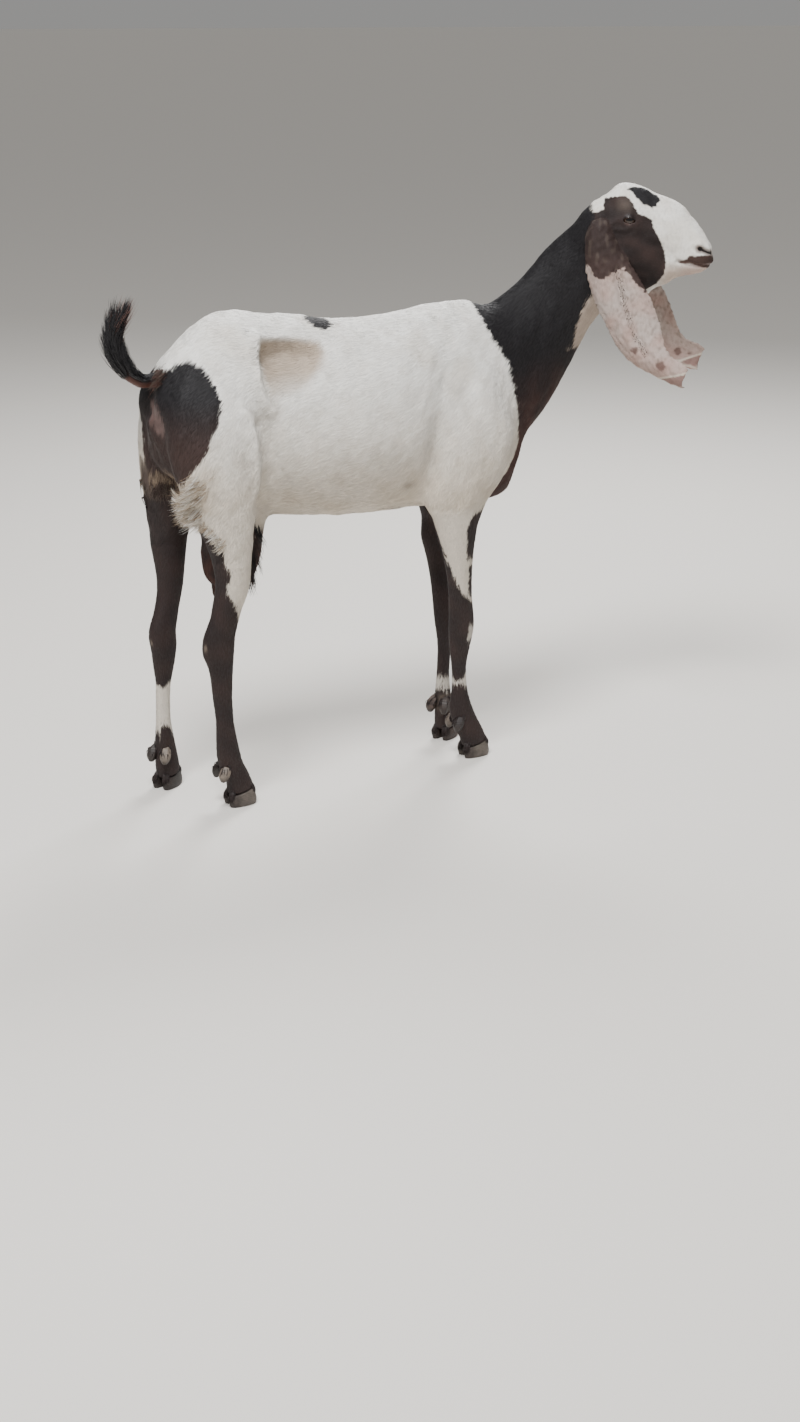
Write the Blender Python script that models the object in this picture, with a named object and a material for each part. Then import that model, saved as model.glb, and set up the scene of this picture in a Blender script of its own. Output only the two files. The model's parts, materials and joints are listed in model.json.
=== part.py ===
"""A beetal goat, an adult doe, life size.

It stands square on its four feet with its neck raised and bent to its right, so
that the face looks over the right shoulder side. It is polled, its long ears hang
and its short tail is held up. Metres, +Z up, +X towards the chest, +Y to its left.
The origin is the middle of the bounding box at floor level.
"""

import math
import random

import bmesh
import bpy
import numpy as np
from mathutils import Matrix, Vector

# Driving size: the height of its withers, and the height for which the rows are drawn
WITHERS_HEIGHT = 0.826
DRAWN_WITHERS = 0.826

# Gap between two pieces that meet face to face, and the growth of a block that leaves it
GAP = 0.0003
BLOCK_GROWTH = 1.8 * GAP
# Points nearer than this to a cutting plane are moved onto it
CUT_SNAP = 0.0012

# Height at which the legs and the udder part from the body
LEG_CUT = 0.446
# Blocks that hold a foreleg up to its elbow, and a thigh: out and up
FORELEG_BLOCK = (
    (0.001, -0.020),
    (0.200, -0.020),
    (0.200, 0.486),
    (0.037, 0.486),
    (0.037, 0.300),
    (0.001, 0.300),
)
FORELEG_SPAN = (0.080, 0.360)
THIGH_BLOCK = (
    (0.046, 0.430),
    (0.210, 0.430),
    (0.210, 0.640),
    (0.120, 0.640),
    (0.046, 0.520),
)
THIGH_SPAN = (-0.400, -0.165)

# The head: where its poll lies, and the way it faces
POLL = Vector((0.507, -0.062, 0.960))
HEADING = math.radians(-43.0)

# Grain of the fused bodies, and the triangles that each keeps
BODY_GRAIN = 0.004
HEAD_GRAIN = 0.0022
BODY_TRIANGLES = 5200
HEAD_TRIANGLES = 2900
FLESH_HEIGHT = 0.47

SIDES = {"right": -1.0, "left": 1.0}


def clear_scene():
    for thing in list(bpy.data.objects):
        bpy.data.objects.remove(thing, do_unlink=True)


def make_object(name, points, faces):
    mesh = bpy.data.meshes.new(name)
    mesh.from_pydata([tuple(p) for p in points], [], faces)
    mesh.update()
    thing = bpy.data.objects.new(name, mesh)
    bpy.context.scene.collection.objects.link(thing)
    return thing


def settle(thing):
    """Apply an object's modifiers to its mesh."""
    graph = bpy.context.evaluated_depsgraph_get()
    mesh = bpy.data.meshes.new_from_object(thing.evaluated_get(graph))
    thing.modifiers.clear()
    old = thing.data
    thing.data = mesh
    bpy.data.meshes.remove(old)
    return thing


def copy_of(thing, name):
    twin = bpy.data.objects.new(name, thing.data.copy())
    bpy.context.scene.collection.objects.link(twin)
    return twin


def drop(*things):
    for thing in things:
        mesh = thing.data
        bpy.data.objects.remove(thing, do_unlink=True)
        if mesh.users == 0:
            bpy.data.meshes.remove(mesh)


def smooth_rows(rows, step):
    """Run a smooth curve through the rows of numbers, about one row for each step."""
    rows = np.array(rows, float)
    spans = np.linalg.norm(np.diff(rows[:, :3], axis=0), axis=1)
    knots = np.concatenate([[0.0], np.cumsum(spans)])
    slopes = np.gradient(rows, knots, axis=0)
    count = max(2, int(round(knots[-1] / step)) + 1)
    result = []
    for t in np.linspace(0.0, knots[-1], count):
        i = min(int(np.searchsorted(knots, t, side="right")) - 1, len(knots) - 2)
        span = knots[i + 1] - knots[i]
        u = (t - knots[i]) / span
        start = (2 * u**3 - 3 * u**2 + 1) * rows[i] + (u**3 - 2 * u**2 + u) * span * slopes[i]
        end = (3 * u**2 - 2 * u**3) * rows[i + 1] + (u**3 - u**2) * span * slopes[i + 1]
        result.append(start + end)
    return np.array(result)


def loft(name, rows, up_hint, step=0.010, sides=28):
    """Skin rings along a path.

    A row is x, y, z, half width, reach on the up side, reach on the down side and,
    where it has a seventh number, the turn of the up side about +Z in degrees.
    """
    rows = [tuple(r) + (0.0,) * (7 - len(r)) for r in rows]
    rows = smooth_rows(rows, step)
    centres = rows[:, :3]
    along = np.gradient(centres, axis=0)
    along /= np.linalg.norm(along, axis=1)[:, None]
    angles = np.linspace(0.0, 2 * math.pi, sides, endpoint=False)
    points = []
    for centre, way, row in zip(centres, along, rows):
        turn = math.radians(row[6])
        hint = Matrix.Rotation(turn, 3, "Z") @ Vector(up_hint)
        up = np.array(hint) - way * float(np.dot(np.array(hint), way))
        up /= np.linalg.norm(up)
        side = np.cross(way, up)
        wide, above, below = np.maximum(row[3:6], 0.0005)
        for angle in angles:
            reach = above if math.sin(angle) > 0 else below
            points.append(centre + side * wide * math.cos(angle) + up * reach * math.sin(angle))
    rings = len(rows)
    faces = []
    for i in range(rings - 1):
        for j in range(sides):
            k = (j + 1) % sides
            faces.append((i * sides + j, i * sides + k, (i + 1) * sides + k, (i + 1) * sides + j))
    faces.append(tuple(reversed(range(sides))))
    faces.append(tuple(range((rings - 1) * sides, rings * sides)))
    thing = make_object(name, points, faces)
    turn_outwards(thing)
    return thing


def turn_outwards(thing):
    work = bmesh.new()
    work.from_mesh(thing.data)
    bmesh.ops.recalc_face_normals(work, faces=work.faces[:])
    if work.calc_volume(signed=True) < 0:
        bmesh.ops.reverse_faces(work, faces=work.faces[:])
    work.to_mesh(thing.data)
    work.free()


def join(name, pieces):
    points = []
    faces = []
    for piece in pieces:
        start = len(points)
        points.extend(tuple(piece.matrix_world @ v.co) for v in piece.data.vertices)
        faces.extend(tuple(start + i for i in f.vertices) for f in piece.data.polygons)
    drop(*pieces)
    return make_object(name, points, faces)


def fuse(name, pieces, grain, smoothing):
    """Melt overlapping pieces into one closed skin with an even grain."""
    body = join(name, pieces)
    melt = body.modifiers.new("melt", "REMESH")
    melt.mode = "VOXEL"
    melt.voxel_size = grain
    soften = body.modifiers.new("soften", "SMOOTH")
    soften.factor = 0.5
    soften.iterations = smoothing
    return keep_largest(settle(body))


def thin_out(thing, triangles):
    work = bmesh.new()
    work.from_mesh(thing.data)
    bmesh.ops.triangulate(work, faces=work.faces[:])
    count = len(work.faces)
    work.to_mesh(thing.data)
    work.free()
    fewer = thing.modifiers.new("fewer", "DECIMATE")
    fewer.ratio = triangles / count
    return settle(thing)


def islands(work):
    """The closed surfaces of a bmesh, each as a list of its faces."""
    left = set(work.faces)
    found = []
    while left:
        seed = left.pop()
        group = [seed]
        stack = [seed]
        while stack:
            face = stack.pop()
            for edge in face.edges:
                for other in edge.link_faces:
                    if other in left:
                        left.discard(other)
                        group.append(other)
                        stack.append(other)
        found.append(group)
    return found


def keep_largest(thing):
    work = bmesh.new()
    work.from_mesh(thing.data)
    groups = sorted(islands(work), key=lambda g: sum(f.calc_area() for f in g))
    extra = [face for group in groups[:-1] for face in group]
    bmesh.ops.delete(work, geom=extra, context="FACES")
    work.to_mesh(thing.data)
    work.free()
    return thing


def split_islands(thing, names):
    """Give each closed surface to the name whose place lies nearest to its middle."""
    work = bmesh.new()
    work.from_mesh(thing.data)
    result = {}
    for group in islands(work):
        seen = sorted({v for f in group for v in f.verts}, key=lambda v: v.index)
        middle = sum((v.co for v in seen), Vector()) / len(seen)
        name = min(names, key=lambda n: (Vector(names[n]) - middle).length)
        number = {v: i for i, v in enumerate(seen)}
        faces = [tuple(number[v] for v in f.verts) for f in sorted(group, key=lambda f: f.index)]
        if name in result and len(result[name].data.polygons) > len(faces):
            continue
        if name in result:
            drop(result[name])
        result[name] = make_object(name, [v.co for v in seen], faces)
    work.free()
    drop(thing)
    return result


def read_points(thing):
    points = np.empty(len(thing.data.vertices) * 3)
    thing.data.vertices.foreach_get("co", points)
    return points.reshape(-1, 3)


def read_normals(thing):
    normals = np.empty(len(thing.data.vertices) * 3)
    thing.data.vertex_normals.foreach_get("vector", normals)
    return normals.reshape(-1, 3)


def write_points(thing, points):
    thing.data.vertices.foreach_set("co", points.ravel())
    thing.data.update()


def swell(thing, moves):
    """Push the skin out, or in where the rise is negative, round each place.

    A move is a place, three radii along X, Y and Z, and the rise at its middle.
    """
    points = read_points(thing)
    normals = read_normals(thing)
    rise = np.zeros(len(points))
    for place, radii, height in moves:
        away = (points - np.array(place)) / np.array(radii)
        rise += height * np.exp(-np.sum(away * away, axis=1))
    write_points(thing, points + normals * rise[:, None])


def distance_to_path(points, path):
    path = np.array(path, float)
    best = np.full(len(points), 1e9)
    for a, b in zip(path[:-1], path[1:]):
        span = b - a
        t = np.clip((points - a) @ span / (span @ span), 0.0, 1.0)
        best = np.minimum(best, np.linalg.norm(points - a - t[:, None] * span, axis=1))
    return best


def on_skin(thing, path, spacing=0.004):
    """The path again, in short steps that each lie on the object's skin."""
    result = []
    for a, b in zip(path[:-1], path[1:]):
        a, b = Vector(a), Vector(b)
        count = max(1, int((b - a).length / spacing))
        result += [a.lerp(b, i / count) for i in range(count)]
    result.append(Vector(path[-1]))
    return [tuple(thing.closest_point_on_mesh(p)[1]) for p in result]


def groove(thing, lines):
    """Press the skin in along each path, or raise it where the depth is negative."""
    points = read_points(thing)
    normals = read_normals(thing)
    rise = np.zeros(len(points))
    for path, width, depth in lines:
        rise -= depth * np.exp(-(distance_to_path(points, on_skin(thing, path)) / width) ** 2)
    write_points(thing, points + normals * rise[:, None])


def cut_side(thing, name, point, normal):
    """A copy of the object's part behind a plane, closed with a flat face."""
    normal = Vector(normal).normalized()
    point = Vector(point)
    work = bmesh.new()
    work.from_mesh(thing.data)
    for vert in work.verts:
        off = (vert.co - point).dot(normal)
        if abs(off) < CUT_SNAP:
            vert.co -= normal * off
    everything = work.verts[:] + work.edges[:] + work.faces[:]
    bmesh.ops.bisect_plane(work, geom=everything, dist=1e-6, plane_co=point,
                           plane_no=normal, clear_outer=True)
    rim = [e for e in work.edges if e.is_boundary]
    bmesh.ops.holes_fill(work, edges=rim, sides=0)
    bmesh.ops.dissolve_degenerate(work, dist=1e-6, edges=work.edges[:])
    bmesh.ops.triangulate(work, faces=work.faces[:])
    mesh = bpy.data.meshes.new(name)
    work.to_mesh(mesh)
    work.free()
    piece = bpy.data.objects.new(name, mesh)
    bpy.context.scene.collection.objects.link(piece)
    return piece


def part_at(thing, behind, ahead, point, normal):
    """Part an object in two at a plane, with the gap between the two faces."""
    normal = Vector(normal).normalized()
    point = Vector(point)
    back = cut_side(thing, behind, point - normal * GAP / 2, normal)
    front = cut_side(thing, ahead, point + normal * GAP / 2, -normal)
    drop(thing)
    return back, front


def boolean(thing, operation, other):
    step = thing.modifiers.new(operation, "BOOLEAN")
    step.operation = operation
    step.solver = "MANIFOLD"
    step.object = other
    return settle(thing)


def trim(thing, *others):
    """Cut the object clear of others, so that it meets each face to face."""
    for other in others:
        cutter = copy_of(other, "cutter")
        write_points(cutter, read_points(cutter) + read_normals(cutter) * GAP)
        boolean(thing, "DIFFERENCE", cutter)
        drop(cutter)
    return keep_largest(thing)


def fuse_locks(core, locks):
    """Fuse locks into their core with one union on a collection."""
    group = bpy.data.collections.new("locks")
    for lock in locks:
        bpy.context.scene.collection.objects.unlink(lock)
        group.objects.link(lock)
    bpy.context.scene.collection.children.link(group)
    step = core.modifiers.new("locks", "BOOLEAN")
    step.operation = "UNION"
    step.solver = "MANIFOLD"
    step.operand_type = "COLLECTION"
    step.collection = group
    settle(core)
    drop(*locks)
    bpy.data.collections.remove(group)
    return keep_largest(core)


# The body

# x, y, z, half width, up, down along the spine from the pin bones to the breast
TRUNK = (
    (-0.332, 0.0, 0.665, 0.024, 0.034, 0.040),
    (-0.318, 0.0, 0.665, 0.046, 0.062, 0.080),
    (-0.300, 0.0, 0.668, 0.062, 0.082, 0.110),
    (-0.262, 0.0, 0.675, 0.078, 0.122, 0.150),
    (-0.215, 0.0, 0.675, 0.086, 0.162, 0.180),
    (-0.150, 0.0, 0.660, 0.086, 0.176, 0.160),
    (-0.080, 0.0, 0.645, 0.098, 0.180, 0.158),
    (-0.010, 0.0, 0.635, 0.112, 0.180, 0.158),
    (0.070, 0.0, 0.632, 0.118, 0.182, 0.158),
    (0.150, 0.0, 0.632, 0.108, 0.188, 0.160),
    (0.230, 0.0, 0.634, 0.090, 0.191, 0.164),
    (0.290, 0.0, 0.634, 0.076, 0.178, 0.167),
    (0.327, 0.0, 0.632, 0.064, 0.150, 0.167),
    (0.357, 0.0, 0.630, 0.054, 0.112, 0.154),
    (0.377, 0.0, 0.628, 0.045, 0.080, 0.128),
    (0.390, 0.0, 0.624, 0.035, 0.050, 0.091),
    (0.399, 0.0, 0.618, 0.022, 0.026, 0.048),
    (0.404, 0.0, 0.614, 0.009, 0.010, 0.020),
)

# x, y, z, half width, up, down along the neck, from inside the chest to the poll
NECK = (
    (0.230, 0.0, 0.655, 0.078, 0.168, 0.130),
    (0.290, 0.0, 0.680, 0.076, 0.152, 0.145),
    (0.350, 0.0, 0.710, 0.064, 0.124, 0.119),
    (0.397, -0.002, 0.749, 0.053, 0.102, 0.094),
    (0.441, -0.012, 0.802, 0.046, 0.086, 0.074),
    (0.470, -0.028, 0.841, 0.044, 0.082, 0.070),
    (0.496, -0.048, 0.878, 0.044, 0.080, 0.072),
    (0.520, -0.072, 0.912, 0.044, 0.070, 0.080),
    (0.545, -0.098, 0.935, 0.036, 0.055, 0.065),
)

# x, y, z, half width, fore, back and turn, down each leg; y is for the right side
HIND_RIGHT = (
    (-0.225, -0.034, 0.780, 0.028, 0.040, 0.040),
    (-0.236, -0.050, 0.715, 0.044, 0.066, 0.076),
    (-0.243, -0.066, 0.640, 0.050, 0.078, 0.084),
    (-0.240, -0.074, 0.580, 0.048, 0.070, 0.076),
    (-0.232, -0.080, 0.530, 0.043, 0.052, 0.064),
    (-0.229, -0.084, 0.485, 0.037, 0.038, 0.048),
    (-0.228, -0.086, 0.440, 0.031, 0.031, 0.035),
    (-0.229, -0.085, 0.400, 0.026, 0.029, 0.030),
    (-0.238, -0.081, 0.366, 0.0220, 0.0265, 0.0265),
    (-0.244, -0.077, 0.336, 0.0200, 0.0255, 0.0255),
    (-0.249, -0.073, 0.309, 0.0190, 0.0265, 0.0315),
    (-0.251, -0.071, 0.287, 0.0195, 0.0275, 0.0320),
    (-0.248, -0.069, 0.262, 0.0175, 0.0235, 0.0240),
    (-0.246, -0.067, 0.235, 0.0150, 0.0200, 0.0210),
    (-0.245, -0.066, 0.198, 0.0137, 0.0178, 0.0189),
    (-0.242, -0.065, 0.160, 0.0134, 0.0165, 0.0172),
    (-0.240, -0.064, 0.125, 0.0160, 0.0195, 0.0192),
    (-0.237, -0.063, 0.098, 0.0190, 0.0218, 0.0212),
    (-0.232, -0.061, 0.076, 0.0196, 0.0222, 0.0215),
    (-0.221, -0.059, 0.053, 0.0190, 0.0222, 0.0208),
    (-0.2145, -0.058, 0.030, 0.0208, 0.0256, 0.0238),
    (-0.2145, -0.059, 0.012, 0.0205, 0.0268, 0.0248),
)
HIND_LEFT = (
    (-0.225, 0.034, 0.780, 0.028, 0.040, 0.040),
    (-0.240, 0.050, 0.715, 0.044, 0.066, 0.074, 4.0),
    (-0.250, 0.066, 0.640, 0.050, 0.078, 0.080, 8.0),
    (-0.256, 0.074, 0.580, 0.048, 0.068, 0.070, 12.0),
    (-0.262, 0.078, 0.530, 0.043, 0.052, 0.058, 16.0),
    (-0.268, 0.080, 0.485, 0.036, 0.040, 0.046, 20.0),
    (-0.272, 0.080, 0.440, 0.030, 0.031, 0.035, 24.0),
    (-0.272, 0.079, 0.400, 0.0250, 0.0260, 0.0290, 26.0),
    (-0.274, 0.078, 0.366, 0.0215, 0.0235, 0.0255, 28.0),
    (-0.2805, 0.077, 0.336, 0.0195, 0.0238, 0.0248, 30.0),
    (-0.286, 0.076, 0.309, 0.0190, 0.0245, 0.0295, 30.0),
    (-0.2925, 0.075, 0.287, 0.0205, 0.0270, 0.0320, 30.0),
    (-0.291, 0.075, 0.262, 0.0205, 0.0262, 0.0285, 30.0),
    (-0.2925, 0.075, 0.235, 0.0178, 0.0232, 0.0245, 30.0),
    (-0.295, 0.075, 0.198, 0.0130, 0.0168, 0.0172, 30.0),
    (-0.297, 0.076, 0.160, 0.0122, 0.0150, 0.0154, 30.0),
    (-0.2975, 0.076, 0.125, 0.0130, 0.0152, 0.0158, 30.0),
    (-0.297, 0.076, 0.098, 0.0162, 0.0178, 0.0182, 30.0),
    (-0.296, 0.077, 0.076, 0.0190, 0.0205, 0.0205, 30.0),
    (-0.2935, 0.078, 0.053, 0.0202, 0.0222, 0.0222, 30.0),
    (-0.2915, 0.0795, 0.030, 0.0208, 0.0252, 0.0238, 30.0),
    (-0.2915, 0.0805, 0.012, 0.0205, 0.0264, 0.0242, 30.0),
)
FORE_RIGHT = (
    (0.240, -0.026, 0.770, 0.024, 0.036, 0.044),
    (0.240, -0.048, 0.710, 0.034, 0.058, 0.064),
    (0.238, -0.064, 0.640, 0.042, 0.080, 0.086),
    (0.226, -0.078, 0.570, 0.044, 0.084, 0.090),
    (0.208, -0.080, 0.510, 0.040, 0.062, 0.072),
    (0.204, -0.079, 0.462, 0.033, 0.044, 0.046),
    (0.207, -0.077, 0.420, 0.027, 0.034, 0.033),
    (0.212, -0.074, 0.380, 0.022, 0.027, 0.026),
    (0.217, -0.070, 0.345, 0.0190, 0.0235, 0.0235),
    (0.222, -0.065, 0.310, 0.0180, 0.0225, 0.0230),
    (0.227, -0.060, 0.275, 0.0200, 0.0240, 0.0240),
    (0.228, -0.057, 0.250, 0.0205, 0.0255, 0.0240),
    (0.228, -0.054, 0.222, 0.0170, 0.0205, 0.0215),
    (0.228, -0.052, 0.190, 0.0130, 0.0160, 0.0172),
    (0.2293, -0.050, 0.160, 0.0118, 0.0148, 0.0146),
    (0.2313, -0.049, 0.130, 0.0138, 0.0162, 0.0166),
    (0.2337, -0.048, 0.100, 0.0190, 0.0218, 0.0225),
    (0.2419, -0.047, 0.074, 0.0200, 0.0240, 0.0232),
    (0.2545, -0.047, 0.050, 0.0200, 0.0244, 0.0232),
    (0.2625, -0.047, 0.030, 0.0208, 0.0262, 0.0248),
    (0.2640, -0.047, 0.012, 0.0205, 0.0268, 0.0250),
)
FORE_LEFT = (
    (0.240, 0.026, 0.770, 0.024, 0.036, 0.044),
    (0.240, 0.048, 0.710, 0.034, 0.058, 0.064),
    (0.240, 0.064, 0.640, 0.042, 0.080, 0.086),
    (0.236, 0.078, 0.570, 0.044, 0.080, 0.088, 4.0),
    (0.234, 0.080, 0.510, 0.040, 0.060, 0.068, 8.0),
    (0.237, 0.078, 0.462, 0.033, 0.043, 0.044, 14.0),
    (0.243, 0.075, 0.420, 0.027, 0.033, 0.032, 18.0),
    (0.248, 0.071, 0.380, 0.022, 0.026, 0.026, 22.0),
    (0.252, 0.067, 0.345, 0.0190, 0.0230, 0.0235, 25.0),
    (0.256, 0.063, 0.310, 0.0180, 0.0220, 0.0250, 28.0),
    (0.260, 0.060, 0.275, 0.0200, 0.0235, 0.0250, 30.0),
    (0.261, 0.058, 0.250, 0.0205, 0.0235, 0.0235, 30.0),
    (0.260, 0.056, 0.222, 0.0170, 0.0200, 0.0210, 30.0),
    (0.259, 0.055, 0.190, 0.0128, 0.0165, 0.0162, 30.0),
    (0.258, 0.055, 0.160, 0.0118, 0.0152, 0.0150, 30.0),
    (0.2565, 0.055, 0.130, 0.0122, 0.0146, 0.0142, 30.0),
    (0.256, 0.055, 0.100, 0.0145, 0.0162, 0.0154, 30.0),
    (0.2585, 0.056, 0.074, 0.0172, 0.0188, 0.0170, 30.0),
    (0.262, 0.059, 0.050, 0.0185, 0.0208, 0.0198, 30.0),
    (0.2665, 0.062, 0.030, 0.0208, 0.0252, 0.0238, 30.0),
    (0.268, 0.0628, 0.012, 0.0205, 0.0264, 0.0242, 30.0),
)
LEGS = {"hind_right": HIND_RIGHT, "hind_left": HIND_LEFT, "fore_right": FORE_RIGHT, "fore_left": FORE_LEFT}

# x, y, z, half width, fore, back down the slack udder, and down each teat
UDDER = (
    (-0.195, 0.0, 0.520, 0.050, 0.070, 0.060),
    (-0.195, 0.0, 0.480, 0.047, 0.067, 0.056),
    (-0.197, 0.0, 0.445, 0.040, 0.061, 0.050),
    (-0.199, 0.0, 0.415, 0.036, 0.055, 0.046),
    (-0.201, 0.0, 0.392, 0.033, 0.046, 0.040),
    (-0.203, 0.0, 0.378, 0.026, 0.033, 0.030),
)
TEAT = (
    (-0.200, 0.016, 0.405, 0.016, 0.022, 0.022),
    (-0.205, 0.018, 0.383, 0.0125, 0.019, 0.020),
    (-0.210, 0.020, 0.365, 0.0090, 0.013, 0.014),
    (-0.214, 0.021, 0.350, 0.0060, 0.007, 0.008),
)


def mirrored(rows):
    return tuple((r[0], -r[1]) + tuple(r[2:]) for r in rows)


def build_body():
    pieces = [loft("trunk", TRUNK, (0, 0, 1)), loft("neck_tube", NECK, (0, 0, 1))]
    for name, rows in LEGS.items():
        pieces.append(loft(name, rows, (1, 0, 0)))
    pieces.append(loft("skull_back", head_rows(SKULL), (0, 0, 1), step=0.006, sides=36))
    pieces.append(loft("bag", UDDER, (1, 0, 0)))
    pieces.append(loft("teat_left", TEAT, (1, 0, 0), step=0.005, sides=16))
    pieces.append(loft("teat_right", mirrored(TEAT), (1, 0, 0), step=0.005, sides=16))
    body = fuse("body", pieces, BODY_GRAIN, 8)
    soften_above(body, FLESH_HEIGHT, 40)
    moves = [((x, side * y, z), radii, rise) for x, y, z, radii, rise in BONES for side in SIDES.values()]
    swell(body, moves)
    swell(body, [((x, 0.0, z), radii, rise) for x, z, radii, rise in MIDLINE])
    lines = []
    for path, width, depth in BODY_LINES:
        for side in SIDES.values():
            lines.append(([(x, side * y, z) for x, y, z in path], width, depth))
    groove(body, lines)
    return body


def soften_above(thing, height, rounds):
    """Blend the muscles of the trunk into each other, and leave the thin legs alone."""
    group = thing.vertex_groups.new(name="flesh")
    heights = read_points(thing)[:, 2]
    for index in np.nonzero(heights > height)[0]:
        group.add([int(index)], min(1.0, float(heights[index] - height) / 0.05), "REPLACE")
    soften = thing.modifiers.new("soften", "SMOOTH")
    soften.factor = 0.5
    soften.iterations = rounds
    soften.vertex_group = group.name
    return settle(thing)


# Bones and hollows of each side of the body: x, y out from the middle, z, radii, rise
BONES = (
    (-0.186, 0.088, 0.792, (0.028, 0.030, 0.026), 0.010),
    (-0.118, 0.085, 0.757, (0.042, 0.045, 0.038), -0.015),
    (-0.328, 0.040, 0.705, (0.020, 0.024, 0.024), 0.009),
    (-0.265, 0.075, 0.752, (0.035, 0.040, 0.030), -0.006),
    (-0.235, 0.085, 0.640, (0.050, 0.050, 0.060), 0.004),
    (0.310, 0.066, 0.600, (0.030, 0.040, 0.040), 0.006),
    (0.140, 0.085, 0.500, (0.026, 0.040, 0.026), 0.005),
    (0.205, 0.085, 0.660, (0.030, 0.040, 0.070), -0.003),
    (0.245, 0.060, 0.740, (0.030, 0.040, 0.050), 0.003),
    (-0.060, 0.060, 0.815, (0.110, 0.030, 0.014), 0.005),
)
# Forms along the middle: x, z, radii, rise
MIDLINE = (
    (-0.235, 0.825, (0.060, 0.040, 0.030), 0.006),
    (0.235, 0.828, (0.050, 0.024, 0.020), 0.004),
    (0.275, 0.826, (0.035, 0.024, 0.020), 0.008),
    (-0.328, 0.650, (0.026, 0.018, 0.060), -0.012),
    (-0.330, 0.662, (0.016, 0.011, 0.022), 0.012),
)
# Ridges and furrows on each side: path, width, depth (a ridge has less than nought)
BODY_LINES = (
    (((-0.180, 0.095, 0.800), (-0.178, 0.098, 0.750), (-0.170, 0.100, 0.695)), 0.011, -0.005),
    (((-0.170, 0.100, 0.660), (-0.176, 0.105, 0.600), (-0.180, 0.100, 0.535)), 0.014, -0.003),
    (((-0.150, 0.100, 0.660), (-0.152, 0.105, 0.600), (-0.154, 0.100, 0.540)), 0.014, 0.004),
    (((0.128, 0.100, 0.510), (0.150, 0.105, 0.600), (0.178, 0.095, 0.710)), 0.014, 0.003),
)

# The head

AHEAD = Vector((math.cos(HEADING), math.sin(HEADING), 0.0))
LEFTWARD = Vector((-math.sin(HEADING), math.cos(HEADING), 0.0))

# Distance ahead of the poll, height of the middle, half width, up, down
SKULL = (
    (-0.040, 0.915, 0.036, 0.040, 0.048),
    (-0.020, 0.922, 0.043, 0.056, 0.070),
    (0.005, 0.928, 0.0465, 0.068, 0.084),
    (0.030, 0.930, 0.0475, 0.085, 0.096),
    (0.052, 0.932, 0.0460, 0.084, 0.099),
    (0.076, 0.930, 0.0410, 0.076, 0.103),
    (0.100, 0.928, 0.0350, 0.069, 0.099),
    (0.125, 0.921, 0.0300, 0.0590, 0.080),
    (0.147, 0.914, 0.0265, 0.0425, 0.062),
    (0.166, 0.904, 0.0245, 0.0285, 0.048),
    (0.178, 0.896, 0.0220, 0.0180, 0.036),
    (0.186, 0.890, 0.0165, 0.0095, 0.022),
    (0.191, 0.886, 0.0080, 0.0050, 0.009),
)
# Ahead, out from the middle, height, radius, rise on both sides of the face
FACE_FORMS = (
    (0.046, 0.046, 0.976, 0.014, 0.0045),
    (0.030, 0.046, 0.955, 0.016, 0.0020),
    (0.052, 0.050, 0.938, 0.013, 0.0015),
    (0.085, 0.040, 0.950, 0.020, -0.0030),
    (0.052, 0.044, 0.892, 0.026, 0.0040),
    (0.045, 0.030, 0.850, 0.022, 0.0030),
    (0.108, 0.034, 0.895, 0.022, -0.0030),
    (0.020, 0.040, 0.995, 0.018, -0.0035),
    (0.172, 0.020, 0.893, 0.012, 0.0022),
    (0.176, 0.012, 0.917, 0.009, 0.0020),
    (0.168, 0.014, 0.872, 0.010, 0.0018),
)
FACE_MIDDLE = (
    (0.035, 0.000, 1.010, 0.022, 0.0040),
    (0.188, 0.000, 0.892, 0.008, 0.0012),
    (0.175, 0.000, 0.868, 0.010, 0.0015),
)
MOUTH_LINE = (
    (0.192, 0.000, 0.8860),
    (0.186, 0.012, 0.8850),
    (0.170, 0.0215, 0.8850),
    (0.150, 0.0235, 0.8885),
    (0.132, 0.0260, 0.8915),
)
NOSTRIL = (
    (0.1875, 0.0090, 0.9040),
    (0.1830, 0.0150, 0.9060),
    (0.1760, 0.0200, 0.9100),
    (0.1680, 0.0220, 0.9150),
)
UPPER_LIP_CLEFT = (
    (0.192, 0.000, 0.887),
    (0.190, 0.000, 0.900),
)

EYE_AHEAD = 0.048
EYE_OUT = 0.0335
EYE_HEIGHT = 0.960
EYE_RADIUS = 0.0132
LID_LENGTH = 0.0118
LID_HEIGHT = 0.0068
LID_TILT = math.radians(-14.0)


def head_place(ahead, out, height):
    """A place on the head: distance ahead of the poll, out to its left, and height."""
    place = POLL + AHEAD * ahead + LEFTWARD * out
    return (place.x, place.y, height)


def head_rows(rows):
    return [head_place(row[0], 0.0, row[1]) + row[2:] for row in rows]


def head_path(rows, side):
    return [head_place(ahead, side * out, height) for ahead, out, height in rows]


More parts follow.
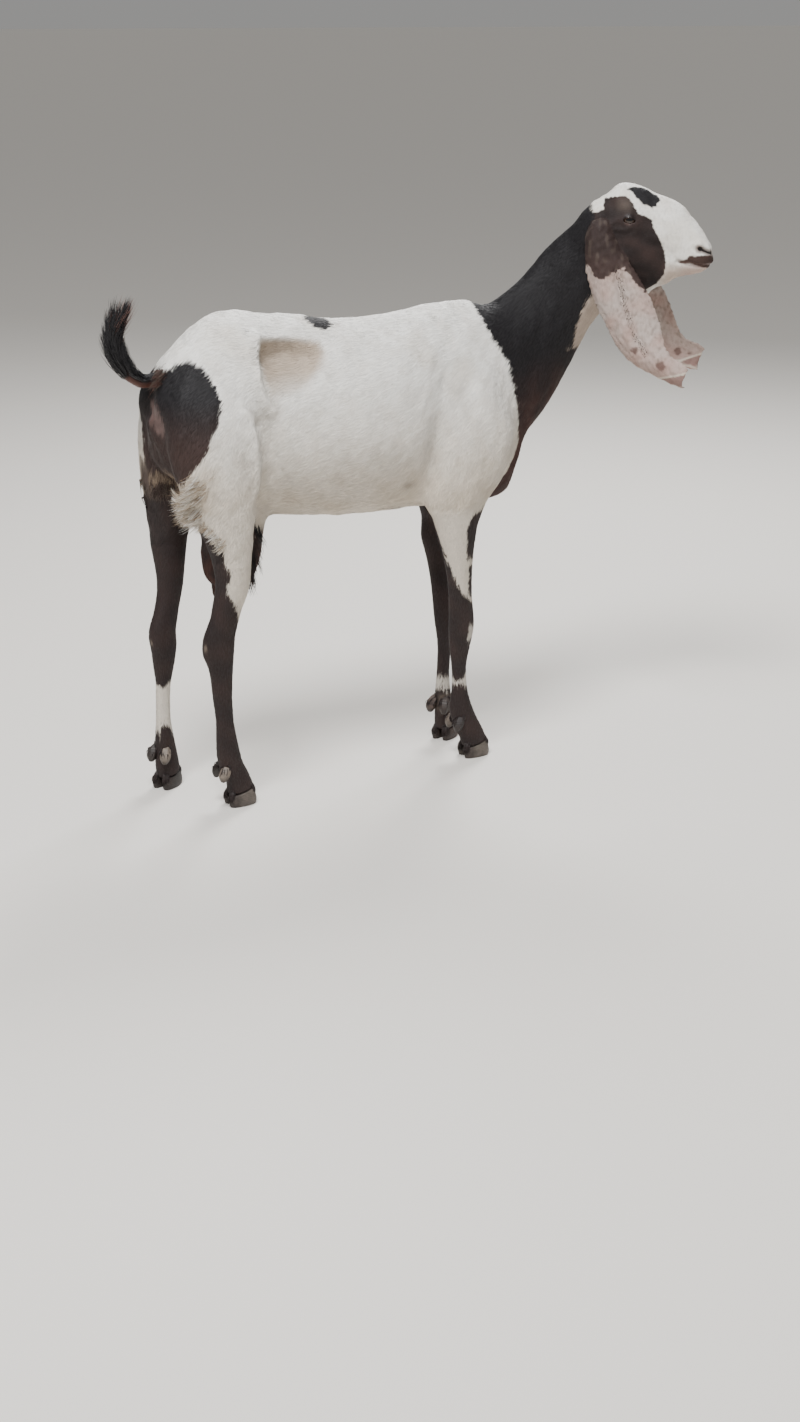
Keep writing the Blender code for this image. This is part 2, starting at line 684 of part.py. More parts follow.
def build_head():
    pieces = [
        loft("skull", head_rows(SKULL), (0, 0, 1), step=0.006, sides=36),
        loft("nape", NECK[3:], (0, 0, 1), step=0.006, sides=36),
    ]
    head = fuse("head", pieces, HEAD_GRAIN, 12)
    moves = []
    for side in SIDES.values():
        for ahead, out, height, radius, rise in FACE_FORMS:
            moves.append((head_place(ahead, side * out, height), (radius,) * 3, rise))
    for ahead, out, height, radius, rise in FACE_MIDDLE:
        moves.append((head_place(ahead, out, height), (radius,) * 3, rise))
    swell(head, moves)
    lines = [(head_path(UPPER_LIP_CLEFT, 1.0), 0.0022, 0.0015)]
    for side in SIDES.values():
        lines.append((head_path(MOUTH_LINE, side), 0.0024, 0.0030))
        lines.append((head_path(NOSTRIL, side), 0.0026, 0.0042))
        lines.append((head_path([(a, o, h + 0.0062) for a, o, h in NOSTRIL], side), 0.0035, -0.0016))
        lines.append((lid_path(side, 1.28), 0.0022, -0.0016))
        lines.append((lid_path(side, 1.75), 0.0016, 0.0010))
    groove(head, lines)
    return head


def eye_frame(side):
    """The middle of an eyeball, and the ways along its slit, up and outward."""
    middle = Vector(head_place(EYE_AHEAD, side * EYE_OUT, EYE_HEIGHT))
    outward = (LEFTWARD * side + AHEAD * 0.22 + Vector((0, 0, 0.10))).normalized()
    along = (AHEAD * math.cos(LID_TILT) + Vector((0, 0, math.sin(LID_TILT)))).normalized()
    along = (along - outward * along.dot(outward)).normalized()
    return middle, along, outward.cross(along) * side, outward


def lid_ring(side, growth, depth, count):
    """Points of the almond that the lids leave open, at a depth along the gaze."""
    middle, along, above, outward = eye_frame(side)
    points = []
    for i in range(count):
        angle = 2 * math.pi * i / count
        lift = math.sin(angle) * abs(math.sin(angle)) ** 0.35
        points.append(middle + outward * depth + along * LID_LENGTH * growth * math.cos(angle)
                      + above * -LID_HEIGHT * growth * lift)
    return points


def lid_path(side, growth):
    ring = lid_ring(side, growth, EYE_RADIUS, 24)
    return [tuple(p) for p in ring + ring[:1]]


def ball(name, middle, radius, rings, sides):
    work = bmesh.new()
    bmesh.ops.create_uvsphere(work, u_segments=sides, v_segments=rings, radius=radius)
    bmesh.ops.triangulate(work, faces=work.faces[:])
    mesh = bpy.data.meshes.new(name)
    work.to_mesh(mesh)
    work.free()
    thing = bpy.data.objects.new(name, mesh)
    bpy.context.scene.collection.objects.link(thing)
    thing.data.transform(Matrix.Translation(middle))
    return thing


def prism(name, rings):
    count = len(rings[0])
    points = [p for ring in rings for p in ring]
    faces = [tuple(range(count)), tuple(range((len(rings) - 1) * count, len(rings) * count))]
    for i in range(len(rings) - 1):
        for j in range(count):
            k = (j + 1) % count
            faces.append((i * count + j, i * count + k, (i + 1) * count + k, (i + 1) * count + j))
    thing = make_object(name, points, faces)
    turn_outwards(thing)
    return thing


def open_eyes(head):
    """Cut each socket and the almond between the lids, and set the eyeballs in."""
    eyes = []
    for name, side in SIDES.items():
        middle = eye_frame(side)[0]
        socket = ball("socket", middle, EYE_RADIUS + GAP, 14, 24)
        boolean(head, "DIFFERENCE", socket)
        drop(socket)
        slit = prism("slit", [lid_ring(side, 0.86, 0.004, 16), lid_ring(side, 1.0, EYE_RADIUS, 16),
                              lid_ring(side, 1.5, EYE_RADIUS + 0.012, 16)])
        boolean(head, "DIFFERENCE", slit)
        drop(slit)
        eyes.append(ball("eye_" + name, middle, EYE_RADIUS, 10, 14))
    keep_largest(head)
    return eyes


# The ears

# Ahead, out, height, width, wrap in degrees, the way its back faces (ahead, out, up), crease
EAR = (
    (0.003, 0.030, 0.962, 0.056, 200.0, -0.3, 0.3, 1.0, 0.000),
    (-0.001, 0.045, 0.962, 0.059, 190.0, -0.3, 0.5, 1.0, 0.000),
    (-0.003, 0.057, 0.951, 0.063, 172.0, -0.2, 0.8, 0.7, 0.001),
    (0.000, 0.065, 0.928, 0.070, 146.0, -0.1, 1.0, 0.3, 0.002),
    (0.009, 0.069, 0.898, 0.082, 120.0, 0.0, 1.0, 0.1, 0.003),
    (0.022, 0.071, 0.867, 0.094, 103.0, 0.0, 1.0, 0.0, 0.005),
    (0.037, 0.073, 0.838, 0.101, 92.0, 0.0, 1.0, 0.0, 0.007),
    (0.053, 0.075, 0.812, 0.101, 90.0, 0.0, 1.0, 0.0, 0.008),
    (0.064, 0.078, 0.787, 0.101, 94.0, -0.05, 1.0, -0.04, 0.006),
    (0.074, 0.080, 0.762, 0.099, 102.0, -0.10, 1.0, -0.08, 0.004),
    (0.086, 0.083, 0.740, 0.091, 116.0, -0.18, 0.97, -0.16, 0.002),
    (0.104, 0.087, 0.722, 0.076, 132.0, -0.24, 0.92, -0.30, 0.000),
    (0.122, 0.091, 0.709, 0.069, 146.0, -0.27, 0.86, -0.42, 0.000),
    (0.140, 0.096, 0.701, 0.068, 152.0, -0.26, 0.82, -0.48, 0.000),
    (0.154, 0.100, 0.696, 0.067, 156.0, -0.26, 0.82, -0.48, 0.000),
    (0.161, 0.102, 0.693, 0.058, 156.0, -0.26, 0.82, -0.48, 0.000),
)
# How far each ear hangs off that line at its middle and at its tip: ahead and up
EAR_SWAY = {"right": ((0.0, 0.0), (0.0, 0.0)), "left": ((0.005, 0.002), (0.006, 0.005))}
EAR_THICK = 0.0032
EAR_EDGE = 0.0014
EAR_ACROSS = 9
EAR_STEP = 0.016


def build_ear(name, side, sway):
    """A thin hanging sheet, split into triangles alike on its back and its inside."""
    rows = smooth_rows([r[:3] + r[3:] for r in EAR], EAR_STEP)
    share = np.linspace(0.0, 1.0, len(rows))
    middle, tip = sway
    for column, axis in ((0, 0), (2, 1)):
        rows[:, column] += middle[axis] * 4 * share * (1 - share) + tip[axis] * share**2
    centres = np.array([head_place(r[0], side * r[1], r[2]) for r in rows])
    ways = np.gradient(centres, axis=0)
    backs = []
    insides = []
    for centre, way, row in zip(centres, ways, rows):
        way = Vector(way).normalized()
        hint = AHEAD * row[5] + LEFTWARD * side * row[6] + Vector((0, 0, row[7]))
        face = (hint - way * hint.dot(way)).normalized()
        across = way.cross(face)
        wrap = math.radians(max(row[4], 4.0))
        radius = row[3] / wrap
        for j in range(EAR_ACROSS + 1):
            v = 2.0 * j / EAR_ACROSS - 1.0
            angle = v * wrap / 2
            normal = face * math.cos(angle) + across * math.sin(angle)
            dent = row[8] * math.exp(-((v + 0.15) / 0.28) ** 2)
            place = Vector(centre) + across * radius * math.sin(angle)
            place += face * (radius * (math.cos(angle) - 1.0) - dent)
            half = 0.5 * (EAR_EDGE + (EAR_THICK - EAR_EDGE) * (1.0 - abs(v) ** 3))
            backs.append(place + normal * half)
            insides.append(place - normal * half)
    across_count = EAR_ACROSS + 1
    total = len(backs)
    faces = []

    def patch(a, b, c, d):
        faces.append((a, b, c))
        faces.append((a, c, d))

    for i in range(len(rows) - 1):
        for j in range(EAR_ACROSS):
            a = i * across_count + j
            b, c, d = a + 1, a + across_count + 1, a + across_count
            patch(a, b, c, d)
            faces.append((total + a, total + c, total + b))
            faces.append((total + a, total + d, total + c))
        first, last = i * across_count, i * across_count + EAR_ACROSS
        patch(first + across_count, total + first + across_count, total + first, first)
        patch(last, total + last, total + last + across_count, last + across_count)
    for j in range(EAR_ACROSS):
        top, bottom = j, (len(rows) - 1) * across_count + j
        patch(total + top, total + top + 1, top + 1, top)
        patch(bottom, bottom + 1, total + bottom + 1, total + bottom)
    ear = make_object(name, backs + insides, faces)
    turn_outwards(ear)
    return ear


# Locks of long hair

LOCK_RINGS = 4
HAIR_SEED = 11


def build_lock(name, middles, outwards, wide, thick):
    """One flat lock along its middles: it swells a little, then tapers to its tip."""
    rings = []
    for i in range(LOCK_RINGS):
        t = i / LOCK_RINGS
        along = (middles[i + 1] - middles[i]).normalized()
        across = along.cross(outwards[i]).normalized()
        out = across.cross(along).normalized()
        half = wide / 2 * (0.75 + 0.9 * t) * (1.0 - t) ** 0.7
        deep = thick / 2 * (1.0 - 0.6 * t)
        middle = middles[i]
        rings.append([middle - across * half, middle - out * deep,
                      middle + across * half, middle + out * deep])
    points = [p for ring in rings for p in ring] + [middles[LOCK_RINGS]]
    faces = [(0, 1, 2), (0, 2, 3)]
    for i in range(LOCK_RINGS - 1):
        for j in range(4):
            k = (j + 1) % 4
            a, b, c, d = i * 4 + j, i * 4 + k, (i + 1) * 4 + k, (i + 1) * 4 + j
            faces += [(a, b, c), (a, c, d)]
    last = (LOCK_RINGS - 1) * 4
    for j in range(4):
        faces.append((last + j, last + (j + 1) % 4, len(points) - 1))
    lock = make_object(name, points, faces)
    turn_outwards(lock)
    return lock


# The tail

# The bare core of the tail, inside its hair
TAIL = (
    (-0.285, 0.0, 0.742, 0.014, 0.012, 0.012),
    (-0.315, 0.0, 0.737, 0.013, 0.011, 0.011),
    (-0.342, 0.0, 0.735, 0.012, 0.011, 0.011),
    (-0.364, 0.0, 0.748, 0.011, 0.011, 0.011),
    (-0.377, 0.0, 0.773, 0.010, 0.010, 0.010),
    (-0.382, 0.0, 0.798, 0.007, 0.007, 0.007),
    (-0.383, 0.0, 0.812, 0.003, 0.003, 0.003),
)
TAIL_LOCK_WIDTH = 0.018
TAIL_LOCK_THICKNESS = 0.0050
TAIL_LIFT_BACK = 0.020
TAIL_LIFT_FRONT = 0.009
# Where each ring of locks starts, as a share of the core, its reach and its number
TAIL_RINGS = ((0.38, 0.38, 4), (0.55, 0.38, 4), (0.71, 0.40, 5), (0.88, 0.42, 6))
TUFT_CURL = Vector((0.05, 0.0, -0.020))


def tail_place(rows, share):
    """A place, its way and its radius at a share of the tail; past 1 is past its end."""
    inside = min(share, 1.0) * (len(rows) - 1)
    index = min(int(inside), len(rows) - 2)
    part = inside - index
    low, high = rows[index], rows[index + 1]
    place = Vector(low[:3] + (high[:3] - low[:3]) * part)
    way = Vector(high[:3] - low[:3]).normalized()
    radius = low[3] + (high[3] - low[3]) * part
    beyond = max(0.0, share - 1.0)
    length = sum((Vector(b[:3]) - Vector(a[:3])).length for a, b in zip(rows, rows[1:]))
    place += way * (beyond * length) + TUFT_CURL * beyond
    return place, way, radius


def build_tail():
    tail = loft("tail", TAIL, (0.3, 0, 1), step=0.012, sides=10)
    work = bmesh.new()
    work.from_mesh(tail.data)
    bmesh.ops.triangulate(work, faces=work.faces[:])
    work.to_mesh(tail.data)
    work.free()
    draw = random.Random(HAIR_SEED)
    rows = smooth_rows(TAIL, 0.004)
    locks = []
    for number, (start, reach, count) in enumerate(TAIL_RINGS):
        for step in range(count):
            turn = 2 * math.pi * (step + 0.5 * (number % 2)) / count + draw.uniform(-0.2, 0.2)
            sideways = draw.uniform(-0.35, 0.35)
            back = (1.0 - math.cos(turn)) / 2
            lift = TAIL_LIFT_FRONT + (TAIL_LIFT_BACK - TAIL_LIFT_FRONT) * back
            lift *= draw.uniform(0.7, 1.3)
            scale = draw.uniform(0.8, 1.2)
            middles, outwards = [], []
            for i in range(LOCK_RINGS + 1):
                t = i / LOCK_RINGS
                place, way, radius = tail_place(rows, start + reach * scale * t)
                front = Vector((0.0, 1.0, 0.0)).cross(way).normalized()
                angle = turn + sideways * t
                outward = front * math.cos(angle) + Vector((0, 1, 0)) * math.sin(angle)
                middles.append(place + outward * (radius * 0.55 + lift * t))
                outwards.append(outward)
            locks.append(build_lock("lock", middles, outwards, TAIL_LOCK_WIDTH * scale, TAIL_LOCK_THICKNESS))
    return fuse_locks(tail, locks)


# The fringe behind the lower end of each thigh
FRINGE_LOCKS = 8
FRINGE_TOP = (-0.318, 0.070, 0.562)
FRINGE_END = (-0.300, 0.078, 0.492)
FRINGE_REACH = {"right": 0.046, "left": 0.030}
FRINGE_WIDTH = 0.015
FRINGE_THICKNESS = 0.0045


def fringe_locks(thigh, name, shift):
    """Locks along the back edge of a thigh: down and back, with their tips curled up."""
    side = SIDES[name]
    draw = random.Random(HAIR_SEED + 1)
    locks = []
    for step in range(FRINGE_LOCKS):
        share = (step + draw.uniform(-0.3, 0.3)) / (FRINGE_LOCKS - 1)
        place = Vector(FRINGE_TOP).lerp(Vector(FRINGE_END), share)
        place = Vector((place.x + shift, side * (place.y + draw.uniform(-0.020, 0.016)), place.z))
        found, skin, normal, _ = thigh.closest_point_on_mesh(place)
        root = skin - normal * 0.006
        reach = FRINGE_REACH[name] * draw.uniform(0.65, 1.15)
        slope = math.radians(draw.uniform(38.0, 68.0))
        heading = (Vector((-math.cos(slope), 0.0, -math.sin(slope))) + normal * 0.12).normalized()
        curl = Vector((-0.14, side * draw.uniform(-0.25, 0.1), draw.uniform(0.15, 0.5)))
        middles = []
        for i in range(LOCK_RINGS + 1):
            t = i / LOCK_RINGS
            middles.append(root + (heading * t + curl * (t * t)) * reach)
        outwards = [Vector((0.25, side, 0.2))] * (LOCK_RINGS + 1)
        locks.append(build_lock("lock", middles, outwards, FRINGE_WIDTH, FRINGE_THICKNESS))
    return locks


# The feet

# Middle of each sole, half length, and the way it points in degrees
FEET = {
    "hind_right": ((-0.2145, -0.059), 0.0275, 0.0),
    "hind_left": ((-0.2920, 0.0805), 0.0275, 30.0),
    "fore_right": ((0.2640, -0.047), 0.0280, 0.0),
    "fore_left": ((0.2680, 0.0625), 0.0280, 30.0),
}
SOLE_HALF_WIDTH = 0.0205
CLEFT = 0.0030
CORONET_HEEL = 0.019
CORONET_TOE = 0.030
HOOF_LEVELS = (0.0, 0.25, 1.0)
HOOF_SIDES = 14


def foot_point(foot, ahead, out, height):
    (x, y), length, turn = FEET[foot]
    angle = math.radians(turn)
    return (x + ahead * math.cos(angle) - out * math.sin(angle),
            y + ahead * math.sin(angle) + out * math.cos(angle), height)


def coronet_height(foot, ahead):
    length = FEET[foot][1]
    share = (ahead + length) / (2 * length)
    return CORONET_HEEL + (CORONET_TOE - CORONET_HEEL) * share


def build_claw(name, foot, side):
    """One claw: a flat sole, a sloping toe wall and a coronet that rises to the front."""
    length = FEET[foot][1]
    rings = []
    for level in HOOF_LEVELS:
        ring = []
        worn = 0.88 if level == 0.0 else 1.0
        toe = length * worn * (1.02 - 0.08 * level)
        heel = length * worn * (0.96 - 0.04 * level)
        wide = (SOLE_HALF_WIDTH - CLEFT / 2) / 2 * (1.0 - 0.02 * level)
        wide *= 0.90 if level == 0.0 else 1.0
        middle = CLEFT / 2 + (SOLE_HALF_WIDTH - CLEFT / 2) / 2
        for i in range(HOOF_SIDES):
            angle = 2 * math.pi * i / HOOF_SIDES
            reach = toe if math.cos(angle) > 0 else heel
            ahead = reach * math.cos(angle)
            square = abs(math.sin(angle)) ** 0.75 * math.copysign(1.0, math.sin(angle))
            narrow = 1.0 - 0.25 * max(0.0, ahead / length) ** 2
            out = middle + wide * square * narrow - 0.10 * wide * max(0.0, ahead / length)
            height = level * coronet_height(foot, ahead)
            ring.append(foot_point(foot, ahead, side * out, height))
        rings.append(ring)
    claw = prism(name, rings)
    work = bmesh.new()
    work.from_mesh(claw.data)
    bmesh.ops.triangulate(work, faces=work.faces[:])
    work.to_mesh(claw.data)
    work.free()
    return claw


# How far behind the middle of its sole the back of each pastern is, and how high its dewclaws sit
PASTERN_BACK = {
    "hind_right": (-0.031, 0.063),
    "hind_left": (-0.019, 0.063),
    "fore_right": (-0.038, 0.069),
    "fore_left": (-0.027, 0.069),
}


def build_dewclaw(name, foot, side):
    """A blunt claw on the back of the pastern, rooted in it and pointing down."""
    back, level = PASTERN_BACK[foot]
    rows = [
        (back + 0.0080, 0.0110, level + 0.015, 0.0065, 0.0065, 0.0065),
        (back + 0.0000, 0.0132, level + 0.008, 0.0090, 0.0092, 0.0092),
        (back - 0.0042, 0.0145, level, 0.0098, 0.0098, 0.0102),
        (back - 0.0065, 0.0148, level - 0.007, 0.0080, 0.0078, 0.0080),
        (back - 0.0075, 0.0148, level - 0.012, 0.0035, 0.0035, 0.0035),
    ]
    placed = [foot_point(foot, ahead, side * out, height) + tuple(rest)
              for ahead, out, height, *rest in rows]
    claw = loft(name, placed, (1, 0, 0), step=0.007, sides=6)
    work = bmesh.new()
    work.from_mesh(claw.data)
    bmesh.ops.triangulate(work, faces=work.faces[:])
    work.to_mesh(claw.data)
    work.free()
    return claw


# Parting, materials and assembly

NECK_CUT = ((0.300, 0.0, 0.826), (0.914, 0.0, 0.405))
POLL_CUT_AHEAD = -0.022
POLL_CUT_HEIGHT = 0.985
POLL_CUT_SLOPE = (0.877, 0.481)

SKINS = {
    "coat_white": ((0.80, 0.78, 0.74), 0.75),
    "coat_dark": ((0.035, 0.022, 0.020), 0.65),
    "ear_skin": ((0.55, 0.48, 0.46), 0.70),
    "udder_skin": ((0.075, 0.045, 0.040), 0.60),
    "horn": ((0.12, 0.095, 0.080), 0.45),
    "eye": ((0.030, 0.016, 0.010), 0.12),
}


def paint(thing, skin):
    colour, rough = SKINS[skin]
    material = bpy.data.materials.new(thing.name + "_" + skin)
    material.use_nodes = True
    shader = material.node_tree.nodes["Principled BSDF"]
    shader.inputs["Base Color"].default_value = colour + (1.0,)
    shader.inputs["Roughness"].default_value = rough
    shader.inputs["Metallic"].default_value = 0.0
    thing.data.materials.clear()
    thing.data.materials.append(material)
    thing.data.shade_smooth()


def carve(thing, name, profile, span, side):
    """Take out what lies in a block: its profile is out and up, its span along the body."""
    rings = [[(x, side * out, up) for out, up in profile] for x in span]
    block = prism("block", rings)
    piece = boolean(copy_of(thing, name), "INTERSECT", block)
    write_points(block, read_points(block) + read_normals(block) * BLOCK_GROWTH)
    boolean(thing, "DIFFERENCE", block)
    drop(block)
    return keep_largest(piece)


def part_body(body):
    """Part the body at the neck, the elbows, the thighs and the stifles."""
    torso, neck = part_at(body, "torso", "neck_raw", *NECK_CUT)
    pieces = {}
    for name, side in SIDES.items():
        foreleg = carve(torso, "leg_fore_" + name, FORELEG_BLOCK, FORELEG_SPAN, side)
        pieces[foreleg.name] = foreleg
    limbs, torso = part_at(torso, "limbs", "torso", (0.0, 0.0, LEG_CUT), (0, 0, 1))
    places = {"leg_hind_" + name: Vector(LEGS["hind_" + name][12][:3]) for name in SIDES}
    places["udder"] = Vector(UDDER[3][:3])
    pieces.update(split_islands(limbs, places))
    for name, side in SIDES.items():
        thigh = carve(torso, "thigh_" + name, THIGH_BLOCK, THIGH_SPAN, side)
        shift = LEGS["hind_" + name][5][0] - HIND_RIGHT[5][0]
        locks = [trim(lock, torso) for lock in fringe_locks(thigh, name, shift)]
        pieces["thigh_" + name] = fuse_locks(thigh, locks)
    keep_largest(torso)
    return torso, neck, pieces


def cut_foot(leg, foot):
    """End the leg on the slope of the coronet, over its two claws."""
    (x, y), length, turn = FEET[foot]
    back = Vector(foot_point(foot, -length, 0.0, CORONET_HEEL + GAP))
    front = Vector(foot_point(foot, length, 0.0, CORONET_TOE + GAP))
    angle = math.radians(turn)
    across = Vector((-math.sin(angle), math.cos(angle), 0.0))
    up = (front - back).cross(across).normalized()
    if up.z < 0:
        up = -up
    piece = cut_side(leg, leg.name + "_cut", back, -up)
    name = leg.name
    drop(leg)
    piece.name = name
    return keep_largest(piece)


def main():
    clear_scene()
    made = []
    body = thin_out(build_body(), BODY_TRIANGLES)
    torso, neck, limbs = part_body(body)
    poll_point = head_place(POLL_CUT_AHEAD, 0.0, POLL_CUT_HEIGHT)
    forward, upward = POLL_CUT_SLOPE
    poll_normal = AHEAD * forward + Vector((0, 0, upward))
    neck_part, scrap = part_at(neck, "neck", "scrap", poll_point, poll_normal)
    drop(scrap)
    head = thin_out(build_head(), HEAD_TRIANGLES)
    scrap, head_part = part_at(head, "scrap", "head", poll_point, poll_normal)
    drop(scrap)
    eyes = open_eyes(head_part)
    ears = [build_ear("ear_" + name, side, EAR_SWAY[name]) for name, side in SIDES.items()]
    for ear in ears:
        trim(ear, head_part, neck_part)
    tail = trim(build_tail(), torso)
    paint(torso, "coat_white")
    paint(neck_part, "coat_dark")
    paint(head_part, "coat_white")
    paint(tail, "coat_dark")
    paint(limbs["udder"], "udder_skin")
    made += [torso, neck_part, head_part, tail, limbs["udder"]]
    for name in SIDES:
        paint(limbs["thigh_" + name], "coat_white")
        made.append(limbs["thigh_" + name])
    for eye in eyes:
        paint(eye, "eye")
    for ear in ears:
        paint(ear, "ear_skin")
    made += eyes + ears
    for foot in LEGS:
        leg = cut_foot(limbs["leg_" + foot], foot)
        paint(leg, "coat_dark")
        made.append(leg)
        outer = SIDES[foot.split("_")[1]]
        for which, side in (("outer", outer), ("inner", -outer)):
            claw = build_claw(f"hoof_{foot}_{which}", foot, side)
            dew = trim(build_dewclaw(f"dewclaw_{foot}_{which}", foot, side), leg)
            paint(claw, "horn")
            paint(dew, "horn")
            made += [claw, dew]
    return settle_on_floor(made)


def settle_on_floor(made):
    """Bring the whole to its size, centre it over the origin and name each mesh."""
    size = WITHERS_HEIGHT / DRAWN_WITHERS
    everything = np.concatenate([read_points(thing) for thing in made])
    low, high = everything.min(axis=0), everything.max(axis=0)
    shift = Vector((-(low[0] + high[0]) / 2, -(low[1] + high[1]) / 2, 0.0)) * size
    for thing in made:
        thing.data.transform(Matrix.Translation(shift) @ Matrix.Scale(size, 4))
        thing.name = thing.name.split(".")[0]
        thing.data.name = thing.name
    print("moved by", [round(v, 5) for v in shift])
    return made, shift


PIECES, SHIFT = main()
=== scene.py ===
# %% [markdown]
# A beetal doe, life size, standing still with her head turned to her right. She has the long
# hanging ears and arched nose of her breed, a white body with black and brown patches, and a coat
# of short hair that lies close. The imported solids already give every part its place, so this
# script only hangs the looks on them: one skin over all the flesh, the coat in small solid tufts
# over that skin, the long hair of tail and thighs in strands, and then eyes, hooves and light.

# %% The frame
import json
import math

import bpy
import numpy as np
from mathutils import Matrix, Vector
from mathutils.bvhtree import BVHTree

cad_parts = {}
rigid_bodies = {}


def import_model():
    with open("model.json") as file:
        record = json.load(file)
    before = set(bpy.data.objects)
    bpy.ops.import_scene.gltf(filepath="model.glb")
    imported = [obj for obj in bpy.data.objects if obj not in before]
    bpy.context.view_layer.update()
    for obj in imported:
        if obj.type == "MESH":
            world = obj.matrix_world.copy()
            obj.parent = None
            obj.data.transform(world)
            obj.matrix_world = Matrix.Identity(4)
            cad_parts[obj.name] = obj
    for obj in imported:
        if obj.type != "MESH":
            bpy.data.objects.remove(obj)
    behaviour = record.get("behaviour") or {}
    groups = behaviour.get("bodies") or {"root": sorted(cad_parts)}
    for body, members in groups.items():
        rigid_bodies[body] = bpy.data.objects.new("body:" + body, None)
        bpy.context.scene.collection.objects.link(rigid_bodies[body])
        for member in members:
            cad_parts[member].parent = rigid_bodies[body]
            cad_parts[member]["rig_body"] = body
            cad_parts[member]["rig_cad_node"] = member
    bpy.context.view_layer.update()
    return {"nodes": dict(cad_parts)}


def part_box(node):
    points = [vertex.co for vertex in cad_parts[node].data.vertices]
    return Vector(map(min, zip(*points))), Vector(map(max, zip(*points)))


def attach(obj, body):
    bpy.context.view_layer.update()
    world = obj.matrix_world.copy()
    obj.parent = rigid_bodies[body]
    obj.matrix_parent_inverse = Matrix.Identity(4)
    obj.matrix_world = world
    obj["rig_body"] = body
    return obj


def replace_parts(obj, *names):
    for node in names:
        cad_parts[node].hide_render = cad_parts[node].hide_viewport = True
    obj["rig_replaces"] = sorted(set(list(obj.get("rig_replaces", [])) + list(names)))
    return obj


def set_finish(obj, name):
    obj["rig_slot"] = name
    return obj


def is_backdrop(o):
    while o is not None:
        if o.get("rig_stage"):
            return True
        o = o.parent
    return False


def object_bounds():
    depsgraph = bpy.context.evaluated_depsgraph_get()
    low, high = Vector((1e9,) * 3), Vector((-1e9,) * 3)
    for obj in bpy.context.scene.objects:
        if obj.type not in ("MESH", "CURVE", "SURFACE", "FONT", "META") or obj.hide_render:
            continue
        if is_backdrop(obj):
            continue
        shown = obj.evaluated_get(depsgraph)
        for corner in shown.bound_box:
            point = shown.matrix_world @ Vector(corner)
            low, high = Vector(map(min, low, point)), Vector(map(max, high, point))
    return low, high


for thing in list(bpy.data.objects):
    bpy.data.objects.remove(thing)
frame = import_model()
NODES = frame["nodes"]

# %% [markdown]
# The goat is drawn from a point on the floor below the middle of her barrel: x runs ahead, y to
# her left and z up. The frame keeps its own origin, so this one offset joins the two. The head is
# turned to her right, and has its own directions: ahead of the poll, out to its left, and up.

# %% The goat's own directions
ORIGIN = np.array((-0.1527, 0.0650, 0.0))
POLL = np.array((0.507, -0.062, 0.960))
HEADING = math.radians(-43.0)
AHEAD = np.array((math.cos(HEADING), math.sin(HEADING), 0.0))
LEFTWARD = np.array((-math.sin(HEADING), math.cos(HEADING), 0.0))
draw = np.random.default_rng(7)


def on_head(ahead, out, height):
    """A place in the goat's drawing from distances measured on her head."""
    place = POLL + AHEAD * ahead + LEFTWARD * out
    return np.array((place[0], place[1], height))


def head_distances(places):
    """How far ahead of the poll and out to its left each place lies."""
    away = places - POLL
    return away @ AHEAD, away @ LEFTWARD


def smooth_step(low, high, values):
    """0 below low, 1 above high, with an even turn between them."""
    share = np.clip((values - low) / (high - low), 0.0, 1.0)
    return share * share * (3.0 - 2.0 * share)


# %% [markdown]
# Colours come from the real animal as sRGB hex values. Blender's shaders work in linear light, so
# one function turns each value. Another one adds a node with its settings and its links.

# %% Colour and node helpers
def linear(hex_colour):
    """A linear colour from an sRGB hex value."""
    parts = [int(hex_colour[i:i + 2], 16) / 255.0 for i in (0, 2, 4)]
    turned = [p / 12.92 if p <= 0.04045 else ((p + 0.055) / 1.055) ** 2.4 for p in parts]
    return np.array(turned + [1.0])


def add_node(tree, kind, settings=(), values=(), links=()):
    """A node with its settings, its plain values, and links given as (socket, from socket)."""
    node = tree.nodes.new(kind)
    for name, value in dict(settings).items():
        setattr(node, name, value)
    for socket, value in dict(values).items():
        node.inputs[socket].default_value = value
    for socket, source in dict(links).items():
        tree.links.new(source, node.inputs[socket])
    return node


def new_material(name):
    """An empty material, its node tree and its main shader."""
    material = bpy.data.materials.new(name)
    material.use_nodes = True
    tree = material.node_tree
    return material, tree, tree.nodes["Principled BSDF"]


# %% [markdown]
# Every step below acts on what is selected, so each starts with nothing selected but its own piece.

# %% Selection helpers
def focus(*things):
    """Select these things alone, the first one active."""
    bpy.ops.object.select_all(action="DESELECT")
    for thing in things:
        thing.select_set(True)
    bpy.context.view_layer.objects.active = things[0]


def apply_modifier(thing, kind, **settings):
    """Add a modifier with its settings and apply it at once."""
    focus(thing)
    modifier = thing.modifiers.new(kind.title(), kind)
    for name, value in settings.items():
        setattr(modifier, name, value)
    bpy.ops.object.modifier_apply(modifier=modifier.name)


def copies_of(names, joined_name):
    """One loose piece made of copies of these solids."""
    copies = []
    for name in names:
        copy = NODES[name].copy()
        copy.data = NODES[name].data.copy()
        copy.parent = None
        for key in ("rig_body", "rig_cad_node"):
            del copy[key]
        bpy.context.scene.collection.objects.link(copy)
        copies.append(copy)
    focus(*copies)
    bpy.ops.object.join()
    joined = bpy.context.object
    joined.name = joined_name
    bpy.ops.object.mode_set(mode="EDIT")
    bpy.ops.mesh.select_all(action="SELECT")
    bpy.ops.mesh.remove_doubles(threshold=0.00002)
    bpy.ops.object.mode_set(mode="OBJECT")
    return joined


def read(thing, what="co"):
    """The places or normals of a mesh's points, as rows in the goat's drawing."""
    source = thing.data.vertices if what == "co" else thing.data.vertex_normals
    values = np.empty(len(source) * 3, np.float32)
    source.foreach_get(what if what == "co" else "vector", values)
    values = values.reshape(-1, 3).astype(float)
    return values - ORIGIN if what == "co" else values


